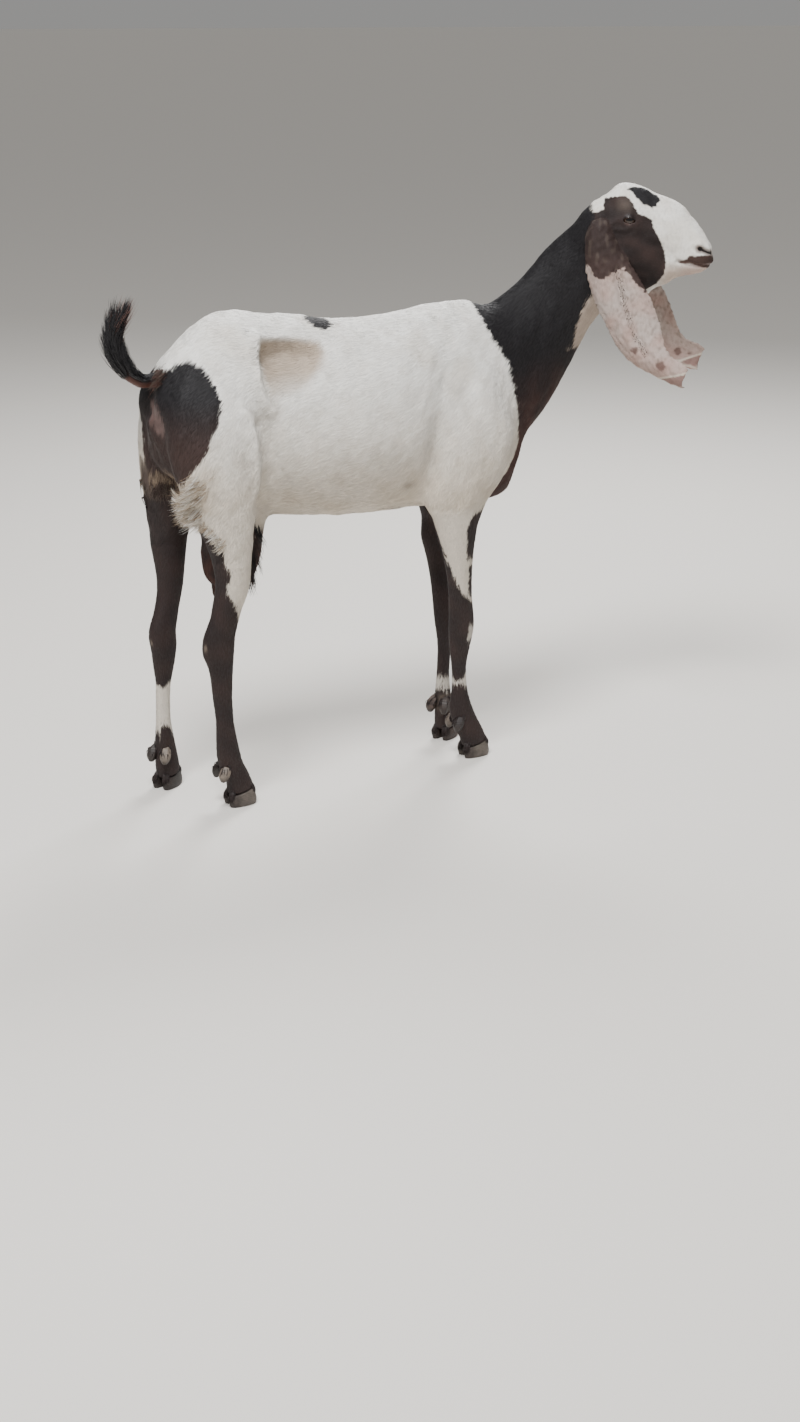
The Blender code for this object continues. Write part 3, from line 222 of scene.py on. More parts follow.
def write(thing, places):
    """Give a mesh's points new places in the goat's drawing."""
    thing.data.vertices.foreach_set("co", (places + ORIGIN).astype(np.float32).ravel())
    thing.data.update()


def read_edges(thing):
    edges = np.empty(len(thing.data.edges) * 2, np.int32)
    thing.data.edges.foreach_get("vertices", edges)
    return edges.reshape(-1, 2)


# %% [markdown]
# The skin. On the animal it is one sheet from lips to hooves, so the copies of all the solids of
# flesh are swollen a little, until the thin gaps between them close, and a voxel remesh then makes
# one even surface of them. It has no seam at the neck or the thighs, which joined copies would
# show. The eyes, hooves and dewclaws stay separate, and the tail gets a core of its own later.

# %% One surface over the flesh
FLESH = [name for name in sorted(NODES) if not name.startswith(("eye", "hoof", "dewclaw", "tail"))]
SKIN_GRAIN = 0.0023
SWELLING = 0.0004

skin = copies_of(FLESH, "skin")
apply_modifier(skin, "DISPLACE", strength=SWELLING, mid_level=0.0)
apply_modifier(skin, "REMESH", mode="VOXEL", voxel_size=SKIN_GRAIN)
print("skin points", len(skin.data.vertices))

# %% [markdown]
# The coat changes from part to part, so each point of the skin has to know what it lies on. The
# nearest solid says so.

# %% Which part each point lies on
PARTS = ("trunk", "neck", "head", "ear", "leg", "udder")
PART_OF = {"torso": 0, "thigh": 0, "neck": 1, "head": 2, "ear": 3, "leg": 4, "udder": 5}


def solids_tree(names):
    """A search tree over these solids, and for each of its faces the part and whether on a thigh."""
    points, faces, parts, thighs = [], [], [], []
    for name in names:
        mesh = NODES[name].data
        first = len(points)
        points += [v.co.copy() for v in mesh.vertices]
        faces += [[first + i for i in p.vertices] for p in mesh.polygons]
        parts += [PART_OF[name.split("_")[0]]] * len(mesh.polygons)
        thighs += [name.startswith("thigh")] * len(mesh.polygons)
    return BVHTree.FromPolygons(points, faces), np.array(parts), np.array(thighs)


FLESH_TREE, FLESH_PARTS, THIGH_FACES = solids_tree(FLESH)


def part_shares(thing):
    """For each point, 1 under the part that it lies on and 0 under the others."""
    found = [FLESH_TREE.find_nearest(v.co)[2] for v in thing.data.vertices]
    shares = np.zeros((len(found), len(PARTS)))
    shares[np.arange(len(found)), FLESH_PARTS[found]] = 1.0
    return shares


def spread(values, edges, rounds, weight=0.5):
    """Even out values over the surface: each round moves a point towards its neighbours' mean."""
    values = values.copy()
    count = len(values)
    degree = np.bincount(edges.ravel(), minlength=count)
    degree = np.maximum(degree, 1)
    share = np.broadcast_to(np.asarray(weight, float), (count,))
    for _ in range(rounds):
        for column in range(values.shape[1]):
            line = values[:, column]
            total = np.bincount(edges[:, 0], weights=line[edges[:, 1]], minlength=count)
            total += np.bincount(edges[:, 1], weights=line[edges[:, 0]], minlength=count)
            values[:, column] = line + (total / degree - line) * share
    return values


# %% [markdown]
# The solids have flat facets, and skin has none. Each point is moved towards the middle of its
# neighbours, over and over: often on the barrel, whose facets are wide, and seldom on the ears and
# round the eyes, mouth and nostrils, where it would wipe out their folds.

# %% Smooth the facets away
EYE = (0.048, 0.0335, 0.960)
EYE_RADIUS = 0.0132
FEATURES = (EYE, (0.178, 0.018, 0.909), (0.170, 0.018, 0.886), (0.148, 0.022, 0.889))
FEATURE_REACH = 0.017
SMOOTH_ROUNDS = {"trunk": 34, "neck": 34, "head": 8, "ear": 3, "leg": 12, "udder": 12}


def near_features(places):
    """1 at the eyes, nostrils and mouth, falling to 0 a finger's width away."""
    ahead, out = head_distances(places)
    closest = np.full(len(places), 9.0)
    for far_ahead, far_out, height in FEATURES:
        for side in (-1.0, 1.0):
            away = np.sqrt((ahead - far_ahead) ** 2 + (out - side * far_out) ** 2
                           + (places[:, 2] - height) ** 2)
            closest = np.minimum(closest, away)
    return 1.0 - smooth_step(FEATURE_REACH * 0.8, FEATURE_REACH * 1.3, closest)


# Height, then ahead, out, half width and reach to the back, down the axis of each thigh
THIGH_ROWS = {
    -1.0: ((0.44, -0.228, 0.086, 0.031, 0.035), (0.485, -0.229, 0.084, 0.037, 0.048),
           (0.53, -0.232, 0.080, 0.043, 0.064), (0.58, -0.240, 0.074, 0.048, 0.076),
           (0.64, -0.243, 0.066, 0.050, 0.084)),
    1.0: ((0.44, -0.272, 0.080, 0.030, 0.035), (0.485, -0.268, 0.080, 0.036, 0.046),
          (0.53, -0.262, 0.078, 0.043, 0.058), (0.58, -0.256, 0.074, 0.048, 0.070),
          (0.64, -0.250, 0.066, 0.050, 0.080)),
}
LOCKS_FROM, LOCKS_TO = 0.560, 0.605


def without_locks(points, chosen):
    """Bring the locks that the solids carry behind the thighs back to the flesh."""
    result = points.copy()
    for side, rows in THIGH_ROWS.items():
        rows = np.array(rows)
        mine = chosen & (points[:, 1] * side > 0) & (points[:, 2] < LOCKS_TO)
        p = points[mine]
        ahead, out, half, back = (np.interp(p[:, 2], rows[:, 0], rows[:, k]) for k in (1, 2, 3, 4))
        along_body, across = p[:, 0] - ahead, p[:, 1] - side * out
        reach = np.hypot(along_body / back, across / half)
        limit = 1.0 + 0.35 * smooth_step(LOCKS_FROM, LOCKS_TO, p[:, 2])
        keep = np.where((along_body < 0) & (reach > limit), limit / np.maximum(reach, 1e-6), 1.0)
        result[mine, 0] = ahead + along_body * keep
        result[mine, 1] = side * out + across * keep
    return result


edges = read_edges(skin)
shares = spread(part_shares(skin), edges, 8)
on_thigh = THIGH_FACES[[FLESH_TREE.find_nearest(v.co)[2] for v in skin.data.vertices]]
places = without_locks(read(skin), on_thigh)
rounds_wanted = shares @ np.array([SMOOTH_ROUNDS[p] for p in PARTS], float)
rounds_wanted *= 1.0 - 0.75 * near_features(places)
rounds_wanted += 12.0 * shares[:, PARTS.index("ear")] * smooth_step(0.728, 0.715, places[:, 2])
for step in range(max(SMOOTH_ROUNDS.values())):
    still = np.clip(rounds_wanted - step, 0.0, 1.0)
    places = spread(places, edges, 1, 0.5 * still)
# The left elbow is slimmer at the back than its solid, and the udder's front lies further back
elbow = (shares[:, PARTS.index("leg")] * (places[:, 1] > 0)
         * smooth_step(0.385, 0.435, places[:, 2]) * smooth_step(0.505, 0.485, places[:, 2]))
elbow_axis = np.interp(places[:, 2], (0.40, 0.49), (0.250, 0.235))
places[:, 0] += np.where(places[:, 0] > 0, np.maximum(elbow_axis - places[:, 0], 0.0) * 0.50 * elbow, 0.0)
places[:, 0] -= (0.010 * shares[:, PARTS.index("udder")] * smooth_step(-0.205, -0.150, places[:, 0])
                 * smooth_step(0.430, 0.500, places[:, 2]))
write(skin, places)

# %% [markdown]
# The smoothing has also softened the bones. The hip bone's ridge and the hollow in front of it, the
# edge of the shoulder blade and the last ribs come back as low swellings and dents, each a place or
# a line with a width and a height.

# %% Bones under the skin
DENTS = (
    ((-0.105, 0.070, 0.738), (0.045, 0.050, 0.030), -0.0050),
    ((-0.215, 0.100, 0.705), (0.016, 0.040, 0.040), -0.0035),
    ((0.175, 0.100, 0.745), (0.022, 0.040, 0.045), -0.0030),
    ((0.060, 0.120, 0.560), (0.040, 0.050, 0.030), -0.0020),
)
RIDGES = (
    (((-0.146, 0.058, 0.768), (-0.110, 0.054, 0.771), (-0.070, 0.064, 0.768)), 0.020, -0.0125),
    (((-0.163, 0.054, 0.799), (-0.110, 0.054, 0.799), (-0.045, 0.064, 0.796)), 0.007, 0.0062),
    (((-0.165, 0.052, 0.806), (-0.164, 0.061, 0.789), (-0.167, 0.068, 0.766), (-0.172, 0.080, 0.738),
      (-0.164, 0.085, 0.707), (-0.149, 0.085, 0.684)), 0.0080, 0.0085),
    (((-0.206, 0.101, 0.687), (-0.197, 0.100, 0.677), (-0.191, 0.104, 0.647), (-0.188, 0.107, 0.610),
      (-0.185, 0.100, 0.560)), 0.009, 0.0055),
    (((-0.172, 0.098, 0.665), (-0.165, 0.098, 0.640), (-0.160, 0.095, 0.600), (-0.155, 0.080, 0.550)),
     0.012, -0.0085),
    (((-0.331, 0.005, 0.668), (-0.331, 0.008, 0.644)), 0.010, 0.0055),
    (((-0.334, 0.010, 0.672), (-0.334, 0.010, 0.640)), 0.0028, -0.0045),
    (((-0.311, 0.091, 0.662), (-0.320, 0.080, 0.630), (-0.322, 0.070, 0.600)), 0.006, 0.0030),
    (((0.190, 0.085, 0.770), (0.168, 0.100, 0.710), (0.152, 0.105, 0.640), (0.150, 0.100, 0.565)), 0.022, -0.0030),
    (((0.205, 0.080, 0.780), (0.235, 0.092, 0.700), (0.262, 0.090, 0.620)), 0.014, 0.0025),
    (((0.150, 0.100, 0.640), (0.165, 0.100, 0.580), (0.160, 0.090, 0.530)), 0.014, -0.0030),
)
# On the head, measured as on_head does, and the same on both sides
HEAD_FOLDS = (
    (((0.030, 0.031, 0.990), (0.050, 0.036, 0.983)), 0.009, 0.0022),
    (((0.022, 0.047, 0.955), (0.034, 0.049, 0.971), (0.050, 0.048, 0.975), (0.064, 0.044, 0.969)), 0.0030, 0.0016),
    (((0.026, 0.049, 0.945), (0.044, 0.050, 0.944), (0.062, 0.046, 0.950)), 0.0030, 0.0014),
    (((0.028, 0.050, 0.939), (0.046, 0.051, 0.937), (0.066, 0.047, 0.944)), 0.0026, -0.0014),
    (((0.024, 0.048, 0.978), (0.044, 0.047, 0.982), (0.062, 0.043, 0.976)), 0.0028, -0.0014),
    (((0.004, 0.044, 0.975), (0.006, 0.050, 0.950), (0.012, 0.054, 0.930)), 0.008, -0.0035),
    (((0.070, 0.044, 0.935), (0.100, 0.034, 0.915), (0.128, 0.028, 0.902)), 0.007, -0.0018),
    (((0.160, 0.025, 0.921), (0.176, 0.022, 0.918), (0.187, 0.014, 0.914)), 0.0035, 0.0016),
    (((0.128, 0.026, 0.896), (0.136, 0.024, 0.888)), 0.0035, -0.0018),
    (((0.190, 0.000, 0.884), (0.178, 0.019, 0.884), (0.160, 0.0225, 0.886), (0.140, 0.025, 0.889)), 0.0022, -0.0022),
)
EAR_FOLDS = (
    (((0.033, 0.067, 0.875), (0.045, 0.0675, 0.845), (0.051, 0.069, 0.820), (0.062, 0.074, 0.792),
      (0.070, 0.0775, 0.770), (0.081, 0.080, 0.754), (0.091, 0.084, 0.739)), 0.0066, -0.0036),
    (((0.022, 0.068, 0.872), (0.032, 0.069, 0.845), (0.038, 0.070, 0.820), (0.048, 0.075, 0.792),
     (0.058, 0.079, 0.765)), 0.0045, 0.0012),
    (((0.066, 0.062, 0.860), (0.080, 0.063, 0.830), (0.090, 0.066, 0.800), (0.100, 0.072, 0.775),
     (0.112, 0.080, 0.750)), 0.0040, 0.0010),
)


def ripple(places, length, seed, waves=14):
    """A smooth random value from about -1 to 1 for each place, with waves of about this length."""
    dice = np.random.default_rng(seed)
    ways = dice.normal(size=(waves, 3))
    ways /= np.linalg.norm(ways, axis=1)[:, None]
    turns = 2.0 * math.pi / (length * dice.uniform(0.7, 1.5, waves))
    starts = dice.uniform(0.0, 2.0 * math.pi, waves)
    total = np.zeros(len(places))
    for way, turn, start in zip(ways, turns, starts):
        total += np.sin(places @ way * turn + start)
    return total / math.sqrt(waves)


def to_line(points, line):
    """How far each place is from a bent line."""
    line = np.asarray(line, float)
    nearest = np.full(len(points), 9.0)
    for start, end in zip(line[:-1], line[1:]):
        way = end - start
        share = np.clip((points - start) @ way / (way @ way), 0.0, 1.0)
        nearest = np.minimum(nearest, np.linalg.norm(points - start - share[:, None] * way, axis=1))
    return nearest


places = read(skin)
one_side = places * (1.0, 0.0, 1.0) + np.abs(places) * (0.0, 1.0, 0.0)
ahead, out = head_distances(places)
on_face = np.stack([ahead, np.abs(out), places[:, 2]], 1)
body_share, head_share, ear_share = shares[:, 0] + shares[:, 1], shares[:, 2], shares[:, 3]
rise = np.zeros(len(places))
# The left hip, which the picture doesn't show, is kept rounder
softer = 1.0 - 0.5 * smooth_step(0.0, 0.03, places[:, 1])
for middle, radii, height in DENTS:
    rise += body_share * softer * height * np.exp(-(((one_side - middle) / radii) ** 2).sum(1))
for group, where, part_share in ((RIDGES, one_side, body_share), (HEAD_FOLDS, on_face, head_share),
                                 (EAR_FOLDS, on_face, ear_share * (np.abs(out) > 0.060))):
    for line, width, height in group:
        rise += (part_share * height * np.exp(-(to_line(where, line) / width) ** 2)
                 * (softer if group is RIDGES else 1.0))
rise += body_share * (0.0015 * ripple(places * (1.0, 1.0, 0.5), 0.060, 31) + 0.0005 * ripple(places, 0.022, 32))
rise += ear_share * 0.00060 * ripple(places, 0.013, 33) + head_share * 0.0003 * ripple(places, 0.016, 34)
write(skin, places + read(skin, "normal") * rise[:, None])
places = spread(read(skin), edges, 3, 0.5 * np.clip(body_share, 0, 1))
write(skin, places)
print("rise from", round(float(rise.min()), 4), "to", round(float(rise.max()), 4))

# %% [markdown]
# Her lids hang low over the eyes. The skin above each ball comes down over it, the skin below
# rises a little, and neither may cut into the ball.

# %% Heavy lids
UPPER_LID, LOWER_LID, LID_THICKNESS = 0.0042, 0.0012, 0.0010

places = read(skin)
for side in (-1.0, 1.0):
    middle = on_head(EYE[0], side * EYE[1], EYE[2])
    away = places - middle
    gap = np.linalg.norm(away, axis=1)
    near = smooth_step(EYE_RADIUS + 0.012, EYE_RADIUS + 0.002, gap)
    places[:, 2] -= UPPER_LID * near * smooth_step(-0.05, 0.40, away[:, 2] / gap)
    places[:, 2] += LOWER_LID * near * smooth_step(-0.05, -0.40, away[:, 2] / gap)
    away = places - middle
    gap = np.linalg.norm(away, axis=1)
    least = EYE_RADIUS + LID_THICKNESS
    places = np.where((gap < least)[:, None], middle + away / gap[:, None] * least, places)
write(skin, places)

# %% [markdown]
# The coat has a depth, and the solids were drawn out to its surface. So the skin sinks by that
# depth: a millimetre and a half on the barrel, almost nothing on the face, ears and feet.

# %% Sink the skin under its coat
COAT_DEPTH = {"trunk": 0.0016, "neck": 0.0016, "head": 0.0006, "ear": 0.0, "leg": 0.0008, "udder": 0.0008}

depths = shares @ np.array([COAT_DEPTH[p] for p in PARTS])
depths *= 1.0 - near_features(places)
write(skin, places - read(skin, "normal") * depths[:, None])

# %% [markdown]
# The remesh gives the barrel as many faces as the lips, and it needs far fewer. A decimate
# modifier with a vertex group thins it and leaves the head and ears alone.

# %% Thin the plain parts
SKIN_TRIANGLES = 180_000

plain = skin.vertex_groups.new(name="plain")
fine = shares[:, PARTS.index("head")] + shares[:, PARTS.index("ear")]
plain.add([int(i) for i in np.nonzero(fine < 0.5)[0]], 1.0, "REPLACE")
now = sum(len(p.vertices) - 2 for p in skin.data.polygons)
apply_modifier(skin, "DECIMATE", ratio=SKIN_TRIANGLES / now, vertex_group="plain", vertex_group_factor=1.0)
skin.vertex_groups.clear()
print("skin triangles", now, "thinned to", sum(len(p.vertices) - 2 for p in skin.data.polygons))

edges = read_edges(skin)
shares = spread(part_shares(skin), edges, 5)

# %% [markdown]
# The markings. Hair has its colour from the root, so skin and coat ask the same function for it:
# given a place and the part that it lies on, it says what colour grows there, and it also paints
# shade low on the sides, in the flank hollow and in the ear's crease, and a highlight on the ear's
# rims. Its borders are a few lines measured along the body. A ripple of many small waves makes
# them ragged, as hair does.

# %% Outlines
def inside(points, outline):
    """How far inside an outline each flat point lies, in metres; less than 0 is outside."""
    outline = np.asarray(outline, float)
    nearest = np.full(len(points), 9.0)
    within = np.zeros(len(points), bool)
    for start, end in zip(outline, np.roll(outline, -1, axis=0)):
        way = end - start
        share = np.clip((points - start) @ way / max(way @ way, 1e-12), 0.0, 1.0)
        nearest = np.minimum(nearest, np.linalg.norm(points - start - share[:, None] * way, axis=1))
        above = (start[1] > points[:, 1]) != (end[1] > points[:, 1])
        rise = np.where(end[1] == start[1], 1.0, end[1] - start[1])
        crossing = start[0] + (points[:, 1] - start[1]) * way[0] / rise
        within ^= above & (points[:, 0] < crossing)
    return np.where(within, nearest, -nearest)


# %% [markdown]
# Borders on the body, as (height, how far ahead) pairs: the dark neck and chest start ahead of one
# line, and the dark rump patch lies behind another. On the legs, white tongues run down between
# dark ones.

# %% Where the colours meet on body and legs
NECK_EDGE = ((0.46, 0.300), (0.49, 0.300), (0.512, 0.312), (0.533, 0.329), (0.555, 0.337), (0.582, 0.345),
             (0.600, 0.340), (0.645, 0.331), (0.693, 0.320), (0.722, 0.315), (0.749, 0.297), (0.778, 0.281),
             (0.803, 0.276), (0.826, 0.272), (0.86, 0.270))
RUMP_EDGE = ((0.545, -0.330), (0.571, -0.316), (0.593, -0.307), (0.610, -0.298), (0.623, -0.286), (0.635, -0.277),
             (0.654, -0.272), (0.674, -0.259), (0.695, -0.248), (0.714, -0.246), (0.734, -0.250), (0.750, -0.256),
             (0.763, -0.264), (0.770, -0.275))
# Outline of the painted shade in the flank hollow, as (how far ahead, height) pairs
FLANK_SHADE = ((-0.164, 0.799), (-0.126, 0.799), (-0.081, 0.796), (-0.044, 0.789), (-0.038, 0.768), (-0.052, 0.742),
         (-0.078, 0.718), (-0.115, 0.700), (-0.152, 0.700), (-0.160, 0.735))
RUMP_TOP = ((-0.345, 0.735), (-0.319, 0.741), (-0.307, 0.754), (-0.293, 0.765), (-0.275, 0.770), (-0.262, 0.766))
RUMP_FAR_SIDE = 0.052
HIND_TONGUE = ((0.325, -0.212), (0.346, -0.224), (0.354, -0.227), (0.371, -0.234), (0.384, -0.241), (0.393, -0.248),
               (0.409, -0.249), (0.424, -0.243), (0.434, -0.242), (0.440, -0.250), (0.453, -0.251), (0.479, -0.253),
               (0.488, -0.262), (0.498, -0.268), (0.506, -0.276), (0.511, -0.288), (0.520, -0.306), (0.535, -0.330))
FORE_TONGUE_BACK = ((0.305, 0.240), (0.315, 0.227), (0.325, 0.215), (0.335, 0.206), (0.358, 0.198), (0.373, 0.190),
                    (0.393, 0.183), (0.430, 0.168), (0.473, 0.153), (0.490, 0.140))
FORE_TONGUE_FRONT = ((0.305, 0.262), (0.315, 0.234), (0.324, 0.229), (0.349, 0.226), (0.375, 0.223), (0.380, 0.244),
                     (0.386, 0.240), (0.390, 0.214), (0.419, 0.210), (0.447, 0.209), (0.470, 0.214), (0.480, 0.235),
                     (0.490, 0.262))
BACK_SPOT = (-0.031, -0.017, 0.022, 0.023)
RINGS = {("fore", "right"): (0.1462, 0.1552), ("fore", "left"): (0.101, 0.125), ("hind", "left"): (0.123, 0.188)}
KNEE_SPOT = (0.234, 0.262)

# %% [markdown]
# Borders on the head, as (ahead of the poll, height) pairs, seen from its side: a brown patch over
# cheek and eye, another on the upper lip, a black spot on the forehead, and ears that are brown
# down to a ragged edge and white with pink skin below it.

# %% Where the colours meet on the head
CHEEK_PATCH = ((-0.050, 0.975), (-0.012, 0.970), (0.004, 0.976), (0.002, 0.994), (0.021, 0.9985),
               (0.041, 0.9985), (0.054, 0.987), (0.065, 0.972), (0.086, 0.962), (0.091, 0.949),
               (0.101, 0.931), (0.110, 0.912), (0.113, 0.900), (0.112, 0.883), (0.111, 0.869),
               (0.104, 0.858), (0.090, 0.846), (0.072, 0.834), (0.040, 0.820), (-0.050, 0.800))
LIP_PATCH = ((0.134, 0.8905), (0.146, 0.8925), (0.1535, 0.9005), (0.1666, 0.9012), (0.1845, 0.9035), (0.196, 0.899),
             (0.198, 0.886), (0.190, 0.8795), (0.184, 0.879), (0.172, 0.8825), (0.163, 0.886), (0.1547, 0.8885),
             (0.148, 0.8875), (0.1376, 0.8875))
BROW_SPOT = ((0.040, -0.0200), (0.050, -0.0225), (0.057, -0.0270), (0.066, -0.0300), (0.078, -0.0290),
             (0.086, -0.0285), (0.093, -0.0240), (0.099, -0.0160), (0.092, -0.007), (0.070, -0.006), (0.052, -0.012))
EAR_EDGE = ((-0.0127, 0.885), (-0.0048, 0.869), (0.0028, 0.861), (0.0134, 0.863), (0.0217, 0.870), (0.0282, 0.875),
            (0.0367, 0.877), (0.0467, 0.879), (0.055, 0.875), (0.0642, 0.864), (0.0752, 0.849), (0.0854, 0.842))
EAR_SPOTS = (((0.073, -0.079, 0.743), 0.0085), ((0.121, -0.094, 0.720), 0.0090), ((0.129, 0.091, 0.719), 0.0070),
             ((0.148, 0.097, 0.715), 0.0060), ((0.060, -0.077, 0.800), 0.0040), ((0.100, 0.083, 0.790), 0.0045))
THROAT_EDGE = ((0.700, -0.040), (0.732, -0.047), (0.800, -0.030), (0.840, -0.005))

# The last colour is not hair but the painted shade of the flank hollow.
HAIR = {name: linear(value) for name, value in {
    "white": "F3F1EC", "cream": "D8CFC0", "tan": "AC9880", "black": "161417", "dark": "211817",
    "brown": "3E2E2A", "red_brown": "55342B", "ear_brown": "3D2F2C", "ear_white": "B4A8A1",
    "pink": "A98479", "lip": "533B35", "muzzle": "3F2F2A", "grey": "6E6258", "udder": "2E211F",
    "bare_pink": "65504C", "inner_ear": "80635D", "shade": "150E0C", "hollow_shade": "A8947F"}.items()}


def lay(base, name, mask):
    """Lay one hair colour over others where the mask says so."""
    return base + (HAIR[name] - base) * mask[:, None]


def line_at(line, heights):
    return np.interp(heights, [p[0] for p in line], [p[1] for p in line])


# %% [markdown]
# Now the function itself, one part of the body at a time. Where a border crosses the places, the
# ripple shifts it by a few millimetres.

# %% The markings
def body_colours(p, ragged):
    """Trunk, neck and chest: white, with a dark front and rump, stains on the belly and painted shade on sides and
    flank.
    """
    x, y, z = p.T
    colour = lay(np.tile(HAIR["white"], (len(p), 1)), "cream", 0.35 * smooth_step(0.2, 1.4, ripple(p, 0.11, 1)))
    low = 1.0 - smooth_step(0.49, 0.60, z)
    colour = lay(colour, "tan", low * (0.30 + 0.25 * np.clip(ripple(p, 0.06, 2), -1, 1)))
    elbow = np.exp(-(((x - 0.115) / 0.05) ** 2 + ((z - 0.515) / 0.03) ** 2))
    colour = lay(colour, "tan", 0.55 * elbow)
    breech = smooth_step(-0.245, -0.30, x) * (1.0 - smooth_step(0.56, 0.66, z))
    colour = lay(colour, "tan", 0.75 * breech)
    # Painted shade in the flank hollow under the loin's edge: weaker towards its lower edge and on the far side.
    flank_shade = smooth_step(-0.003, 0.013, inside(np.stack([x, z], 1), FLANK_SHADE))
    colour = lay(colour, "hollow_shade",
                 flank_shade * (0.86 - 0.40 * smooth_step(0.745, 0.705, z)) * np.where(y > 0, 0.4, 1.0))
    # Painted shade: cream and tan darken the lower sides, where less light falls. The small ripples laid with it are
    # real mottling.
    side = smooth_step(0.74, 0.50, z)
    colour = lay(colour, "cream", 0.75 * side)
    colour = lay(colour, "tan", 0.26 * side + 0.10 * np.clip(ripple(p, 0.035, 16), 0, 1)
                 + 0.07 * np.clip(ripple(p, 0.011, 17), 0, 1))
    stain = np.exp(-(((x - 0.104) / 0.012) ** 2 + ((z - 0.533) / 0.009) ** 2))
    colour = lay(colour, "grey", 0.55 * stain)
    between_thighs = (smooth_step(-0.262, -0.275, x) * smooth_step(-0.058, -0.036, y)
                      * smooth_step(0.080, 0.066, y) * (z < 0.60))
    colour = lay(colour, "grey", 0.70 * between_thighs)
    colour = lay(colour, "brown", 0.85 * between_thighs * smooth_step(0.010, 0.034, y) * smooth_step(0.600, 0.575, z))
    groin = smooth_step(-0.115, -0.15, x) * smooth_step(0.490, 0.465, z) * smooth_step(0.060, 0.045, np.abs(y))
    colour = lay(colour, "udder", groin)
    front = x - line_at(NECK_EDGE, z) + ragged * 0.0012
    dark = smooth_step(-0.0012, 0.0012, front)
    colour = lay(colour, "black", dark)
    reddish = (dark * smooth_step(0.74, 0.58, z - 0.25 * (x - 0.38))
               * (0.75 + 0.25 * np.clip(ripple(p, 0.05, 3), -1, 1)))
    colour = lay(colour, "red_brown", np.clip(reddish, 0, 1) * 0.72)
    rump = line_at(RUMP_EDGE, z) - x + ragged * 0.0016
    middle = smooth_step(-0.060, -0.040, y)
    rump = np.maximum(rump, np.where(z < 0.66, (-0.262 - x) * middle - 0.02 * (1.0 - middle), -1.0))
    rump = np.minimum(rump, np.interp(x, [p[0] for p in RUMP_TOP], [p[1] for p in RUMP_TOP]) - z + ragged * 0.0012)
    rump = np.where(y > 0, np.minimum(rump, RUMP_FAR_SIDE - y + ragged * 0.002), rump)
    rump = np.minimum(rump, z - 0.548 + ragged * 0.003)
    dark = smooth_step(-0.0012, 0.0012, rump)
    colour = lay(colour, "black", dark)
    lower = smooth_step(0.72, 0.62, z)
    colour = lay(colour, "brown", dark * lower * 0.85)
    colour = lay(colour, "tan", dark * smooth_step(0.585, 0.548, z + 0.010 * ragged) * 0.5)
    spot_x, spot_y, long, wide = BACK_SPOT
    spot = 1.0 - np.sqrt(((x - spot_x) / long) ** 2 + ((y - spot_y) / wide) ** 2) + ragged * 0.10
    colour = lay(colour, "black", smooth_step(-0.05, 0.05, spot) * (z > 0.78))
    ahead, _ = head_distances(p)
    throat = ahead - line_at(THROAT_EDGE, z) + ragged * 0.002
    throat = smooth_step(-0.001, 0.001, np.where(z < 0.86, np.minimum(throat, z - 0.735), -1.0))
    return lay(lay(colour, "ear_white", throat), "tan", throat * 0.45)


def leg_colours(p, n, ragged):
    """Legs: dark, with white tongues on their outer sides and thin white rings."""
    x, y, z = p.T
    side = np.where(y < 0, -1.0, 1.0)
    hind = x < 0
    colour = lay(np.tile(HAIR["black"], (len(p), 1)), "brown", 0.46 + 0.14 * np.clip(ripple(p, 0.05, 4), -1, 1))
    outer = n[:, 1] * side + ragged * 0.06
    outer = outer - 0.55 * (y > 0)
    near = (y < 0) * 0.3
    tongue = np.minimum(x - line_at(HIND_TONGUE, z) + ragged * 0.0022,
                        (outer + 0.15) * 0.03 + near * np.maximum(z - 0.44, 0))
    tongue = np.where(hind & (z > 0.325), tongue, -1.0)
    back = x - line_at(FORE_TONGUE_BACK, z)
    ahead = line_at(FORE_TONGUE_FRONT, z) - x
    fore = np.minimum(np.minimum(back, ahead) + ragged * 0.002,
                      (outer + 0.10) * 0.03 + near * np.maximum(z - 0.47, 0))
    tongue = np.where(~hind & (z > 0.305), fore, tongue)
    white = smooth_step(-0.0012, 0.0012, tongue)
    for (end, name), (low, high) in RINGS.items():
        here = (hind == (end == "hind")) & ((y < 0) == (name == "right"))
        if (end, name) == ("hind", "left"):
            off_middle = np.clip(np.abs(x + 0.301) / 0.012, 0.0, 1.0)
            low, high = low - 0.014 * off_middle, high + 0.010 * off_middle
        if (end, name) == ("fore", "right"):
            corner = smooth_step(0.230, 0.238, x) + smooth_step(0.219, 0.213, x)
            low, high = low - 0.003 * corner, high + 0.009 * corner
        band = np.minimum(z - low, high - z) + ragged * 0.0014
        white = np.maximum(white, smooth_step(-0.001, 0.001, band) * here * (0.78 if end == "hind" else 0.58))
    knee = np.minimum(np.minimum(z - KNEE_SPOT[0], KNEE_SPOT[1] - z) * 0.4, x - 0.2335) + ragged * 0.002
    white = np.maximum(white, smooth_step(-0.001, 0.001, knee) * (~hind) * (y < 0) * 0.5)
    for spot, radius in (((-0.280, -0.078, 0.296), 0.0055), ((-0.319, 0.064, 0.274), 0.0045)):
        away = np.linalg.norm((p - spot) * (1.0, 1.0, 0.6), axis=1)
        colour = lay(colour, "grey", 0.9 * smooth_step(radius, radius * 0.4, away))
    pastern = ((~hind) * (y > 0) * smooth_step(0.055, 0.062, z) * smooth_step(0.098, 0.088, z)
               * smooth_step(0.240, 0.248, x))
    colour = lay(colour, "grey", 0.6 * pastern)
    return lay(lay(lay(colour, "white", white), "cream", white * 0.72), "tan", white * 0.24)


